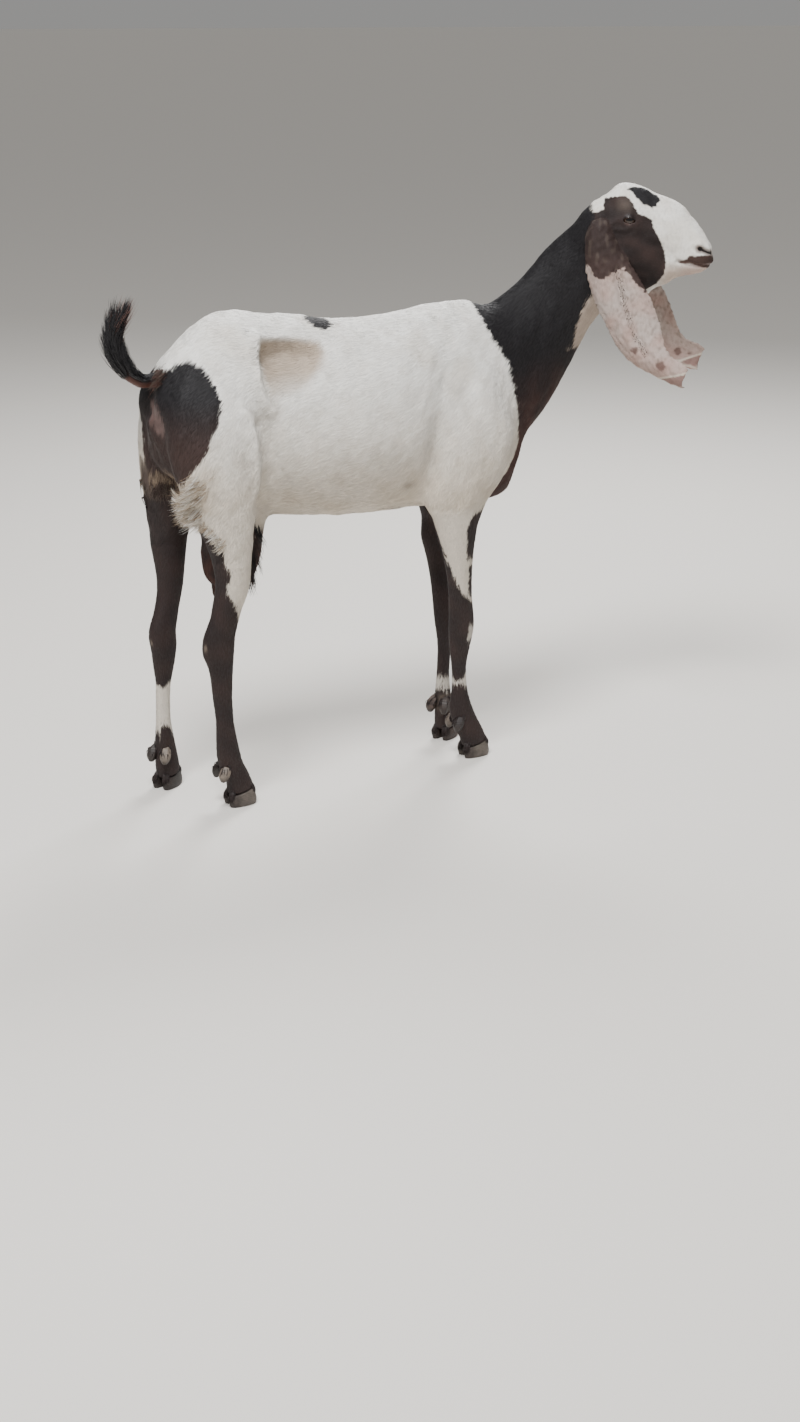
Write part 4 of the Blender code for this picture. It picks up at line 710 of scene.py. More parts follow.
def head_colours(p, ragged):
    """Head: white, with brown cheeks, a dark brow spot and brown upper lip."""
    ahead, out = head_distances(p)
    z = p[:, 2]
    side_view = np.stack([ahead, z], 1)
    colour = lay(np.tile(HAIR["white"], (len(p), 1)), "cream", 0.3 + 0.2 * np.clip(ripple(p, 0.03, 5), -1, 1))
    colour = lay(colour, "grey", 0.10 * np.clip(ripple(p * (1.0, 1.0, 0.5), 0.006, 18), 0, 1.5))
    jaw = (1.0 - smooth_step(0.868, 0.892, z)) * smooth_step(0.085, 0.12, ahead)
    colour = lay(colour, "pink", 0.45 * jaw)
    colour = lay(colour, "tan", 0.35 * jaw)
    chin = smooth_step(0.888, 0.882, z) * smooth_step(0.130, 0.150, ahead)
    colour = lay(colour, "pink", 0.40 * chin)
    cheek = inside(side_view, CHEEK_PATCH) + ragged * 0.0010
    cheek = np.minimum(cheek, (np.abs(out) - 0.012) * 0.5)
    dark = smooth_step(-0.0008, 0.0008, cheek)
    colour = lay(colour, "dark", dark)
    colour = lay(colour, "ear_brown", dark * (0.35 + 0.35 * np.clip(ripple(p, 0.035, 6), -1, 1)))
    bone = np.exp(-(((ahead - 0.040) / 0.014) ** 2 + ((z - 0.985) / 0.010) ** 2))
    colour = lay(colour, "grey", dark * bone * 0.35)
    brow = inside(np.stack([ahead, out], 1), BROW_SPOT) + ragged * 0.0010
    colour = lay(colour, "black", smooth_step(-0.0008, 0.0008, brow) * (z > 0.97))
    lip = inside(side_view, LIP_PATCH) + ragged * 0.0008
    return lay(colour, "muzzle", smooth_step(-0.0010, 0.0010, lip))


def ear_colours(p, n, ragged):
    """Ears: brown at the top, then thin white hair with pink skin and a few brown spots."""
    ahead, out = head_distances(p)
    z = p[:, 2]
    colour = lay(np.tile(HAIR["ear_white"], (len(p), 1)), "pink", 0.30 + 0.22 * np.clip(ripple(p, 0.04, 8), -1, 1))
    colour = lay(colour, "pink", 0.35 * (1.0 - smooth_step(0.70, 0.77, z)))
    colour = lay(colour, "grey", 0.22 * np.clip(ripple(p * (1.0, 1.0, 0.5), 0.007, 19), 0, 1))
    colour = lay(colour, "grey", 0.45 * smooth_step(0.5, 1.3, ripple(p, 0.009, 12))
                 * smooth_step(-0.4, 0.6, ripple(p, 0.05, 13)))
    on_ear = np.stack([ahead, np.abs(out), z], 1)
    # Painted shade along the ear's central crease.
    crease_shade_gap = np.min([to_line(on_ear, line) for line, _, height in EAR_FOLDS if height < 0], axis=0)
    colour = lay(colour, "grey", 0.40 * smooth_step(0.004, 0.001, crease_shade_gap) * (np.abs(out) > 0.062))
    roll = z - (0.699 + (ahead - 0.125) * 0.30)
    colour = lay(colour, "inner_ear", 0.75 * smooth_step(0.0008, -0.0008, roll) * (ahead > 0.100))
    colour = lay(colour, "cream", 0.7 * smooth_step(0.0022, 0.0012, np.abs(roll - 0.001)) * (ahead > 0.105))
    # Lighter where the ear turns edge-on: partly white rim hair, partly a painted rim highlight.
    edge_on = 1.0 - np.abs(n @ LEFTWARD)
    colour = lay(colour, "cream", 0.55 * smooth_step(0.50, 0.80, edge_on))
    for (spot_ahead, spot_out, height), radius in EAR_SPOTS:
        away = np.linalg.norm(p - on_head(spot_ahead, spot_out, height), axis=1)
        colour = lay(colour, "lip", 0.75 * smooth_step(radius * 1.2, radius * 0.5, away + ragged * 0.002))
    top = z - np.interp(ahead, [e[0] for e in EAR_EDGE], [e[1] for e in EAR_EDGE]) + ragged * 0.0025
    brown = smooth_step(-0.001, 0.001, top)
    colour = lay(colour, "ear_brown", brown)
    colour = lay(colour, "dark", brown * 0.55 * smooth_step(0.885, 0.915, z))
    return lay(colour, "grey", brown * 0.20 * smooth_step(0.3, 1.2, ripple(p * (1.0, 1.0, 0.4), 0.010, 15)))


def coat_colours(p, n, shares):
    """The colour that grows at each place, from what part it lies on."""
    ragged = np.clip(0.8 * ripple(p, 0.007, 9) + 0.7 * ripple(p, 0.028, 10), -1.8, 1.8)
    body, legs = body_colours(p, ragged), leg_colours(p, n, ragged)
    part = shares.argmax(1)
    thigh = (part == 0) & (p[:, 2] < 0.56) & (np.abs(p[:, 1]) > 0.03)
    lower = np.where((p[:, 0] < -0.16) & thigh, 1.0 - smooth_step(0.530, 0.532, p[:, 2]), 0.0)
    lower = np.where((p[:, 0] > 0.13) & thigh, 1.0 - smooth_step(0.478, 0.480, p[:, 2]), lower)
    body = body + (legs - body) * lower[:, None]
    colour = body.copy()
    for index, chosen in ((2, head_colours(p, ragged)), (3, ear_colours(p, n, ragged)), (4, legs)):
        colour[part == index] = chosen[part == index]
    udder = lay(np.tile(HAIR["udder"], (len(p), 1)), "red_brown", 0.4 + 0.4 * np.clip(ripple(p, 0.03, 11), -1, 1))
    colour[part == 5] = udder[part == 5]
    return np.clip(colour, 0.0, 1.0)


# %% [markdown]
# The skin's material. Short hair lies so close on face, ears and feet that it is mostly a fine
# grain on the skin, so the bump has streaks about 2 mm apart that run along the body. Bare skin
# on lips, nostrils and under the tail is smoother and a little wet. The colour is an attribute
# that the function above fills in.

# %% Skin material
def skin_material():
    material, tree, shader = new_material("short_haired_goat_skin")
    shade = add_node(tree, "ShaderNodeAttribute", {"attribute_name": "Coat"})
    place = add_node(tree, "ShaderNodeTexCoord")
    streak_map = add_node(tree, "ShaderNodeMapping", values={"Scale": (160.0, 520.0, 300.0)},
                          links={"Vector": place.outputs["Object"]})
    streaks = add_node(tree, "ShaderNodeTexNoise", values={"Scale": 1.0, "Detail": 3.0},
                       links={"Vector": streak_map.outputs["Vector"]})
    tone = add_node(tree, "ShaderNodeMapRange", values={"To Min": 0.82, "To Max": 1.10},
                    links={"Value": streaks.outputs["Fac"]})
    tinted = add_node(tree, "ShaderNodeVectorMath", {"operation": "SCALE"},
                      links={"Vector": shade.outputs["Color"], "Scale": tone.outputs["Result"]})
    bare = add_node(tree, "ShaderNodeAttribute", {"attribute_name": "Bare"})
    gloss = add_node(tree, "ShaderNodeMapRange", values={"To Min": 0.72, "To Max": 0.42},
                     links={"Value": bare.outputs["Fac"]})
    bump = add_node(tree, "ShaderNodeBump", values={"Strength": 0.45, "Distance": 0.0008},
                    links={"Height": streaks.outputs["Fac"]})
    tree.links.new(tinted.outputs["Vector"], shader.inputs["Base Color"])
    tree.links.new(gloss.outputs["Result"], shader.inputs["Roughness"])
    tree.links.new(bump.outputs["Normal"], shader.inputs["Normal"])
    shader.inputs["Specular IOR Level"].default_value = 0.28
    return material


def fill_attribute(thing, name, values, kind="FLOAT_COLOR"):
    """Store one value for each point under a name that materials can read."""
    attribute = thing.data.attributes.new(name, kind, "POINT")
    field = "color" if kind == "FLOAT_COLOR" else "value"
    attribute.data.foreach_set(field, values.astype(np.float32).ravel())


places, normals = read(skin), read(skin, "normal")
skin_colours = coat_colours(places, normals, shares)
ahead, out = head_distances(places)
on_skull = shares[:, 2] > 0.5
NOSTRIL = ((0.1880, 0.0080, 0.9050), (0.1825, 0.0150, 0.9060), (0.1755, 0.0192, 0.9100), (0.1680, 0.0220, 0.9140))
MOUTH = ((0.1930, 0.0000, 0.8850), (0.1860, 0.0120, 0.8845), (0.1780, 0.0185, 0.8840), (0.1700, 0.0215, 0.8845),
         (0.1600, 0.0225, 0.8860), (0.1500, 0.0235, 0.8880), (0.1400, 0.0250, 0.8900), (0.1320, 0.0260, 0.8915))
on_face = np.stack([ahead, np.abs(out), places[:, 2]], 1)
slit = np.minimum(to_line(on_face, NOSTRIL), np.linalg.norm(on_face - (0.1705, 0.0212, 0.9130), axis=1) - 0.0018)
mouth = to_line(on_face, MOUTH)
bare_nose = smooth_step(0.0090, 0.0042, slit) * on_skull
bare_lips = smooth_step(0.0060, 0.0025, mouth) * on_skull
eye_gap = np.minimum.reduce([np.linalg.norm(places - on_head(EYE[0], side * EYE[1], EYE[2]), axis=1)
                             for side in (-1, 1)])
bare_lids = smooth_step(EYE_RADIUS + 0.0035, EYE_RADIUS + 0.0012, eye_gap)
dock_side = places[:, 1] + 0.006 + 0.45 * np.clip(0.712 - places[:, 2], 0.0, 0.08)
dock = np.exp(-(((places[:, 0] + 0.332) / 0.03) ** 2 + (dock_side / 0.028) ** 2
                + ((places[:, 2] - 0.684) / 0.040) ** 2) ** 1.5)
bare_dock = smooth_step(0.30, 0.65, dock) * smooth_step(-0.30, -0.315, places[:, 0])
lit_lower_lid = bare_lids * smooth_step(0.0, -0.003, places[:, 2] - EYE[2] + 0.002)
skin_colours = lay(skin_colours, "lip", bare_nose * 0.75)
skin_colours = lay(skin_colours, "dark", bare_lids)
skin_colours = lay(skin_colours, "shade", smooth_step(0.0038, 0.0018, slit) * on_skull)
# The lower lid's rim: pink skin, made lighter as a painted highlight.
skin_colours = lay(skin_colours, "bare_pink", lit_lower_lid * 0.45)
skin_colours = lay(skin_colours, "lip", bare_lips * 0.7)
skin_colours = lay(skin_colours, "shade", smooth_step(0.0022, 0.0008, mouth) * on_skull * 0.7)
skin_colours = lay(skin_colours, "bare_pink", bare_dock * (0.75 + 0.2 * np.clip(ripple(places, 0.012, 14), -1, 1)))
skin_bare = np.clip(bare_nose + bare_lips + bare_lids + bare_dock, 0, 1)
fill_attribute(skin, "Coat", skin_colours)
fill_attribute(skin, "Bare", skin_bare, "FLOAT")
skin.data.materials.clear()
skin.data.materials.append(skin_material())
focus(skin)
bpy.ops.object.shade_smooth()
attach(skin, "root")
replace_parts(skin, *FLESH)
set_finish(skin, "coat_white")
print("bare points", int((skin_bare > 0.5).sum()))

# %% [markdown]
# The lie of the coat. Hair grows away from the nose, over the back to the tail, down and back on
# the sides, and straight down the legs. A few dozen places with the way that hair takes there are
# enough: anywhere else it is their mean, each counting for more the nearer it is.

# %% The way the hair lies
LIE = (
    ((0.24, 0.050, 0.80), (-1.0, 0.0, -0.25)), ((0.24, 0.090, 0.66), (-0.75, 0.0, -0.65)),
    ((0.33, 0.070, 0.60), (-0.55, 0.1, -0.85)), ((0.00, 0.080, 0.78), (-1.0, 0.0, -0.30)),
    ((0.00, 0.120, 0.64), (-0.9, 0.0, -0.42)), ((0.05, 0.040, 0.50), (-1.0, 0.0, 0.0)),
    ((-0.10, 0.050, 0.50), (-1.0, 0.0, 0.0)), ((-0.12, 0.080, 0.62), (-0.8, 0.0, -0.6)),
    ((-0.17, 0.040, 0.82), (-1.0, 0.0, -0.05)), ((-0.10, 0.010, 0.82), (-1.0, 0.0, 0.0)),
    ((-0.27, 0.060, 0.76), (-0.75, 0.0, -0.60)), ((-0.25, 0.110, 0.62), (-0.50, 0.0, -0.85)),
    ((-0.31, 0.080, 0.55), (-0.55, 0.0, -0.80)), ((-0.33, 0.030, 0.64), (-0.15, 0.1, -1.0)),
    ((-0.18, 0.100, 0.50), (-0.25, 0.0, -1.0)), ((0.17, 0.090, 0.54), (-0.45, 0.0, -0.9)),
    ((0.22, 0.070, 0.42), (-0.15, 0.0, -1.0)), ((0.22, 0.060, 0.28), (0.0, 0.0, -1.0)),
    ((0.23, 0.060, 0.12), (0.0, 0.0, -1.0)), ((-0.24, 0.080, 0.38), (-0.15, 0.0, -1.0)),
    ((-0.26, 0.070, 0.24), (0.0, 0.0, -1.0)), ((-0.26, 0.070, 0.12), (0.1, 0.0, -1.0)),
    ((0.39, 0.020, 0.56), (-0.1, 0.1, -1.0)), ((0.33, 0.020, 0.47), (-0.7, 0.0, -0.6)),
    ((0.40, 0.040, 0.68), (-0.40, 0.0, -0.9)), ((0.33, 0.060, 0.76), (-0.75, 0.0, -0.7)),
    ((0.34, 0.010, 0.86), (-0.9, 0.0, -0.7)), ((0.45, -0.030, 0.93), (-0.65, 0.3, -0.7)),
    ((0.46, -0.040, 0.78), (-0.45, 0.2, -0.85)),
)
HEAD_LIE = (
    ((0.17, 0.000, 0.925), (-1.0, 0.0, 0.45)), ((0.17, 0.020, 0.885), (-1.0, 0.1, 0.0)),
    ((0.12, 0.000, 0.99), (-1.0, 0.0, 0.5)), ((0.11, 0.032, 0.92), (-1.0, 0.1, -0.05)),
    ((0.06, 0.000, 1.02), (-1.0, 0.0, 0.0)), ((0.00, 0.000, 0.99), (-0.8, 0.0, -0.5)),
    ((0.06, 0.045, 0.90), (-0.9, 0.1, -0.4)), ((0.09, 0.000, 0.835), (-1.0, 0.0, 0.1)),
    ((0.05, 0.045, 0.98), (-1.0, 0.1, 0.1)), ((0.01, 0.068, 0.92), (0.0, 0.3, -1.0)),
    ((0.03, 0.072, 0.85), (0.3, 0.0, -1.0)), ((0.07, 0.080, 0.77), (0.5, 0.0, -0.9)),
    ((0.14, 0.097, 0.70), (0.8, 0.1, -0.4)),
)
LIE_SOFTNESS = 0.03


def lie_table():
    """Both sides' places and ways, in the goat's drawing."""
    spots, ways = [], []
    for side in (-1.0, 1.0):
        for spot, way in LIE:
            spots.append((spot[0], side * spot[1] if spot[0] < 0.41 else spot[1], spot[2]))
            ways.append((way[0], side * way[1] if spot[0] < 0.41 else way[1], way[2]))
        for spot, way in HEAD_LIE:
            spots.append(on_head(spot[0], side * spot[1], spot[2]))
            ways.append(AHEAD * way[0] + LEFTWARD * side * way[1] + np.array((0.0, 0.0, way[2])))
    ways = np.array(ways, float)
    return np.array(spots, float), ways / np.linalg.norm(ways, axis=1)[:, None]


LIE_SPOTS, LIE_WAYS = lie_table()


def lie_at(places):
    """The way that the coat lies at each place."""
    total = np.zeros_like(places)
    for spot, way in zip(LIE_SPOTS, LIE_WAYS):
        away = ((places - spot) ** 2).sum(1)
        total += way * (1.0 / (away + LIE_SOFTNESS ** 2) ** 2)[:, None]
    return total / np.linalg.norm(total, axis=1)[:, None]


# %% [markdown]
# The coat itself. A tuft is a thin solid blade with three sides that narrows to a point: seven
# points and ten triangles. Over a hundred thousand of them lie along the skin like tiles, each
# over the roots of the next, so that they hide it and break its outline on every side. They are
# written straight into meshes, as adding each with a tool would take hours. Length, width and
# lift below are in millimetres, and the last number is how many square millimetres each one has.

# %% Tuft sizes
TUFTS = {
    "trunk": (15.5, 1.66, 0.45, 10.6),
    "neck": (13.5, 1.54, 0.42, 10.0),
    "head": (5.2, 0.90, 0.24, 7.6),
    "ear": (5.2, 0.92, 0.20, 11.5),
    "leg": (8.8, 1.32, 0.36, 9.4),
    "udder": (12.0, 1.4, 0.80, 10.0),
}
MILLIMETRE = 0.001

loops = skin.data
loops.calc_loop_triangles()
corners = np.empty(len(loops.loop_triangles) * 3, np.int32)
loops.loop_triangles.foreach_get("vertices", corners)
corners = corners.reshape(-1, 3)
table = np.array([TUFTS[p] for p in PARTS])
sizes = shares / shares.sum(1)[:, None] @ table
sizes[:, :3] *= MILLIMETRE
# The face is finer towards the lips, and long hair gets longer behind the thighs and under the belly
ahead, _ = head_distances(places)
muzzle = smooth_step(0.08, 0.17, ahead) * (shares[:, 2] > 0.5)
sizes[:, 0] *= 1.0 - 0.45 * muzzle
sizes[:, 1] *= 1.0 - 0.25 * muzzle
foot = smooth_step(0.16, 0.06, places[:, 2])
sizes[:, 0] *= 1.0 - 0.30 * foot
shaggy = (smooth_step(-0.24, -0.32, places[:, 0]) * smooth_step(0.68, 0.58, places[:, 2])
          * smooth_step(0.42, 0.50, places[:, 2]))
sizes[:, 0] *= 1.0 + 0.8 * shaggy
sizes[:, 2] *= 1.0 + 1.2 * shaggy
under = smooth_step(0.52, 0.485, places[:, 2]) * (shares[:, 0] > 0.5)
sizes[:, 0] *= 1.0 + 0.25 * under

# %% [markdown]
# Roots are dealt out over the skin by area, so that they come out even: the triangles are laid end
# to end by how many tufts each should carry, and one root falls at every whole step along them.

# %% Where the tufts grow
a, b, c = (places[corners[:, i]] for i in range(3))
areas = np.linalg.norm(np.cross(b - a, c - a), axis=1) / 2.0
per_tuft = sizes[corners, 3].mean(1) * MILLIMETRE ** 2 * 1.0
keep = 1.0 - np.clip(skin_bare[corners].mean(1), 0.0, 1.0)
wanted = np.cumsum(areas / per_tuft * keep)
count = int(wanted[-1])
chosen = np.searchsorted(wanted, np.arange(count) + draw.uniform(0.0, 1.0, count))
chosen = np.minimum(chosen, len(corners) - 1)
first, second = draw.uniform(size=count), draw.uniform(size=count)
flip = first + second > 1.0
first, second = np.where(flip, 1.0 - first, first), np.where(flip, 1.0 - second, second)
weights = np.stack([1.0 - first - second, first, second], 1)
here = corners[chosen]


def at_roots(values):
    return (values[here] * weights[:, :, None]).sum(1)


roots, root_normals = at_roots(places), at_roots(normals)
root_normals /= np.linalg.norm(root_normals, axis=1)[:, None]
root_sizes, root_shares = at_roots(sizes), at_roots(shares)
print("tufts", count)

# %% [markdown]
# Each blade follows the lie of the coat with a small swerve that neighbours share, so the coat has
# soft strands in it, plus a little of its own. Its middle and tip are brought back to the skin
# under them, so that none stands off a curved leg or ear, and then lifted by the coat's depth.

# %% Lay the tufts down
SWERVE, OWN_SWERVE = 0.10, 0.075
MIDDLE, SINK = 0.45, 0.0005

ways = lie_at(roots)
sideways = np.cross(root_normals, ways)
turn = SWERVE * ripple(roots, 0.035, 21) + OWN_SWERVE * draw.normal(size=count)
ways = ways + sideways * turn[:, None]
ways -= root_normals * (ways * root_normals).sum(1)[:, None]
ways /= np.maximum(np.linalg.norm(ways, axis=1), 1e-6)[:, None]
lengths = root_sizes[:, 0] * draw.uniform(0.70, 1.30, count)
widths = root_sizes[:, 1] * draw.uniform(0.75, 1.25, count)
lifts = root_sizes[:, 2] * draw.uniform(0.5, 1.3, count) * (1.0 + 0.12 * ripple(roots, 0.05, 22))
skin_tree = BVHTree.FromPolygons([v.co.copy() for v in skin.data.vertices], corners.tolist())


def onto_skin(points, height):
    """Bring points to the skin under them, then lift them off it by these heights."""
    result = np.empty_like(points)
    for i, point in enumerate(points + ORIGIN):
        place, normal, _, _ = skin_tree.find_nearest(point)
        result[i] = place + normal * height[i]
    return result - ORIGIN


low_points = roots - root_normals * SINK
middles = onto_skin(roots + ways * (lengths * MIDDLE)[:, None], lifts * 0.8)
tips = onto_skin(roots + ways * lengths[:, None], lifts)
print("laid")

# %% [markdown]
# The baked model needs to know where on the skin each tuft grows. A thinned copy of the skin is
# unwrapped with smart project, which follows its real shape, and every tuft becomes a patch a few
# thousandths of the map across at its own root's place there, in a map named OFBake.

# %% Unwrap the skin for the tufts
BAKE_TRIANGLES = 6000
PATCH = 0.0015

skin_map = skin.copy()
skin_map.data = skin.data.copy()
skin_map.parent = None
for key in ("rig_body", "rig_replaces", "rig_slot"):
    if key in skin_map:
        del skin_map[key]
bpy.context.scene.collection.objects.link(skin_map)
apply_modifier(skin_map, "DECIMATE", ratio=BAKE_TRIANGLES / len(corners))
bpy.ops.object.mode_set(mode="EDIT")
bpy.ops.mesh.select_all(action="SELECT")
bpy.ops.uv.smart_project(angle_limit=math.radians(66.0), island_margin=0.004)
bpy.ops.object.mode_set(mode="OBJECT")
flat = np.empty(len(skin_map.data.loops) * 2, np.float32)
skin_map.data.uv_layers.active.data.foreach_get("uv", flat)
flat = flat.reshape(-1, 2)
map_faces = [p.vertices[:] for p in skin_map.data.polygons]
map_loops = [p.loop_indices[:] for p in skin_map.data.polygons]
map_points = [v.co.copy() for v in skin_map.data.vertices]
map_tree = BVHTree.FromPolygons(map_points, map_faces)


def map_places(points):
    """Where each point falls on the unwrapped skin."""
    result = np.empty((len(points), 2))
    for i, point in enumerate(points + ORIGIN):
        place, _, face, _ = map_tree.find_nearest(point)
        around = [map_points[v] for v in map_faces[face][:3]]
        one, two = around[1] - around[0], around[2] - around[0]
        reach = place - around[0]
        d11, d12, d22 = one.dot(one), one.dot(two), two.dot(two)
        r1, r2 = reach.dot(one), reach.dot(two)
        below = max(d11 * d22 - d12 * d12, 1e-20)
        v = (d22 * r1 - d12 * r2) / below
        w = (d11 * r2 - d12 * r1) / below
        at = [flat[k] for k in map_loops[face][:3]]
        result[i] = at[0] * (1.0 - v - w) + at[1] * v + at[2] * w
    return np.clip(result, 0.0, 1.0)


root_map = map_places(roots)
bpy.data.objects.remove(skin_map)
print("unwrapped")

# %% [markdown]
# Hair is keratin: fine, slightly shiny fibres whose colour varies a little from strand to strand,
# darker at the root where little light gets in. Both come from the attribute, and a fine noise
# adds the streaks of single hairs that are too thin to model.

# %% Hair material
def hair_material(name, roughness):
    material, tree, shader = new_material(name)
    shade = add_node(tree, "ShaderNodeAttribute", {"attribute_name": "Coat"})
    place = add_node(tree, "ShaderNodeTexCoord")
    strands = add_node(tree, "ShaderNodeTexNoise", values={"Scale": 700.0, "Detail": 2.0},
                       links={"Vector": place.outputs["Object"]})
    tone = add_node(tree, "ShaderNodeMapRange", values={"To Min": 0.88, "To Max": 1.08},
                    links={"Value": strands.outputs["Fac"]})
    tinted = add_node(tree, "ShaderNodeVectorMath", {"operation": "SCALE"},
                      links={"Vector": shade.outputs["Color"], "Scale": tone.outputs["Result"]})
    tree.links.new(tinted.outputs["Vector"], shader.inputs["Base Color"])
    shader.inputs["Roughness"].default_value = roughness
    shader.inputs["Specular IOR Level"].default_value = 0.3
    shader.inputs["Sheen Weight"].default_value = 0.05
    shader.inputs["Sheen Roughness"].default_value = 0.5
    return material


SHORT_HAIR = hair_material("short_goat_hair", 0.62)
LONG_HAIR = hair_material("long_goat_hair", 0.50)

# %% [markdown]
# A smooth coat takes the light as one surface. So each blade's shading leans towards the skin's own
# direction below it, and its edges show where it stands against the background.

# %% Write tufts into meshes
BLADE = np.array(((0, 1, 4), (0, 4, 3), (1, 2, 5), (1, 5, 4), (2, 0, 3), (2, 3, 5),
                  (3, 4, 6), (4, 5, 6), (5, 3, 6), (0, 2, 1)))
PATCH_CORNERS = np.array(((-1, -1), (1, -1), (0, -0.6), (-0.7, 0.2), (0.7, 0.2), (0, 0.3), (0, 1))) * PATCH
ROOF = 0.22
LEVELLING = 0.70
ROOT_SHADE, TIP_SHADE = 0.86, 1.04

root_colours = coat_colours(middles, root_normals, root_shares)
strand = 1.0 + 0.05 * draw.normal(size=count) + 0.03 * ripple(roots, 0.02, 23)
root_colours[:, :3] *= np.clip(strand, 0.7, 1.25)[:, None]


def blades(pick):
    """Points, faces, colours and map places of the tufts picked, seven points to each."""
    n, way, wide = root_normals[pick], ways[pick], widths[pick][:, None]
    across = np.cross(n, way)
    down, mid, tip = low_points[pick], middles[pick], tips[pick]
    points = np.stack([
        down - across * wide * 0.5, down + across * wide * 0.5, down + n * wide * ROOF,
        mid - across * wide * 0.42, mid + across * wide * 0.42, mid + n * wide * ROOF, tip], 1)
    faces = BLADE[None] + (np.arange(len(pick)) * 7)[:, None, None]
    tones = np.array([ROOT_SHADE] * 3 + [1.0] * 3 + [TIP_SHADE])
    colours = np.repeat(root_colours[pick][:, None, :], 7, axis=1)
    colours[:, :, :3] *= tones[None, :, None]
    spots = root_map[pick][:, None, :] + PATCH_CORNERS[None]
    return (points.reshape(-1, 3), faces.reshape(-1, 3), np.clip(colours, 0, 1).reshape(-1, 4), spots.reshape(-1, 2),
            np.repeat(n, 7, axis=0))


def mesh_piece(name, points, faces, colours, spots, material, slot, facing=None):
    """A finished coat piece: its mesh, colours, bake map, material and place in the frame."""
    mesh = bpy.data.meshes.new(name)
    mesh.vertices.add(len(points))
    mesh.vertices.foreach_set("co", (points + ORIGIN).astype(np.float32).ravel())
    mesh.loops.add(faces.size)
    mesh.loops.foreach_set("vertex_index", faces.astype(np.int32).ravel())
    mesh.polygons.add(len(faces))
    mesh.polygons.foreach_set("loop_start", np.arange(0, faces.size, faces.shape[1], dtype=np.int32))
    mesh.update(calc_edges=True)
    mesh.polygons.foreach_set("use_smooth", np.ones(len(faces), bool))
    layer = mesh.uv_layers.new(name="OFBake")
    layer.data.foreach_set("uv", spots[faces.ravel()].astype(np.float32).ravel())
    mesh.validate()
    if facing is not None:
        own = np.empty(len(points) * 3, np.float32)
        mesh.vertex_normals.foreach_get("vector", own)
        facing = own.reshape(-1, 3) * (1.0 - LEVELLING) + facing * LEVELLING
        facing /= np.linalg.norm(facing, axis=1)[:, None]
        mesh.normals_split_custom_set_from_vertices(facing.tolist())
    thing = bpy.data.objects.new(name, mesh)
    bpy.context.scene.collection.objects.link(thing)
    fill_attribute(thing, "Coat", colours)
    mesh.materials.append(material)
    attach(thing, "root")
    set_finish(thing, slot)
    print(name, "triangles", sum(len(p.vertices) - 2 for p in mesh.polygons))
    return thing


# %% [markdown]
# No coat piece may hold more than 200,000 triangles, so the tufts are shared out by where they
# grow, and the largest areas are cut into strips from tail to chest.

# %% The coat in pieces
PIECE_TUFTS = 18_000

root_part = root_shares.argmax(1)
groups = {"coat_barrel": (root_part == 0, "coat_white"), "coat_neck": (root_part == 1, "coat_dark"),
          "coat_head": (root_part == 2, "coat_white"), "coat_ears": (root_part == 3, "ear_skin"),
          "coat_legs": (root_part == 4, "coat_dark"), "coat_udder": (root_part == 5, "udder_skin")}
for name, (mask, slot) in groups.items():
    members = np.nonzero(mask)[0]
    members = members[np.argsort(roots[members, 0], kind="stable")]
    strips = max(1, math.ceil(len(members) / PIECE_TUFTS))
    for index, strip in enumerate(np.array_split(members, strips)):
        label = name if strips == 1 else f"{name}_{index + 1}"
        points, faces, colours, spots, facing = blades(strip)
        mesh_piece(label, points, faces, colours, spots, SHORT_HAIR, slot, facing)

# %% [markdown]
# The tail stands up and curves ahead at its tip. Its core is a tapered tube, bare and reddish
# below, and long hair lies along it and goes on past its end. Long hair is made strand by strand:
# each is a thin tube with three sides that follows a bent path and narrows to a point.

# %% Strands of long hair
def strands(paths, widths, shades, name, slot):
    """One piece of long hair. Paths holds one row of places for each strand."""
    count, steps = paths.shape[:2]
    way = np.gradient(paths, axis=1)
    way /= np.maximum(np.linalg.norm(way, axis=2, keepdims=True), 1e-9)
    across = np.cross(way, (0.31, 0.87, 0.38))
    across /= np.maximum(np.linalg.norm(across, axis=2, keepdims=True), 1e-9)
    up = np.cross(across, way)
    share = np.linspace(0.0, 1.0, steps)
    size = (widths[:, None] * 0.5 * (1.0 - 0.80 * share ** 1.5))[:, :, None]
    turns = (0.0, 2.1, 4.2)
    rings = np.stack([paths + (across * math.cos(a) + up * (0.6 * math.sin(a))) * size for a in turns], 2)[:, :-1]
    points = np.concatenate([rings.reshape(count, -1, 3), paths[:, -1:]], 1)
    tones = np.concatenate([np.repeat(0.85 + 0.25 * share[:-1], 3), [1.10]])
    colours = shades[:, None, :] * tones[None, :, None]
    colours[:, :, 3] = 1.0
    offsets = [(math.cos(a) * PATCH, (2.0 * s - 1.0) * PATCH) for s in share[:-1] for a in turns] + [(0.0, PATCH)]
    spots = map_places(paths[:, 0])[:, None, :] + np.array(offsets)[None]
    faces = []
    for row in range(0, (steps - 2) * 3, 3):
        for k in range(3):
            n = (k + 1) % 3
            faces += [(row + k, row + n, row + 3 + n), (row + k, row + 3 + n, row + 3 + k)]
    row = (steps - 2) * 3
    faces += [(row + k, row + (k + 1) % 3, row + 3) for k in range(3)] + [(2, 1, 0)]
    faces = np.array(faces)[None] + (np.arange(count) * (row + 4))[:, None, None]
    return mesh_piece(name, points.reshape(-1, 3), faces.reshape(-1, 3), np.clip(colours, 0, 1).reshape(-1, 4),
                      spots.reshape(-1, 2), LONG_HAIR, slot)


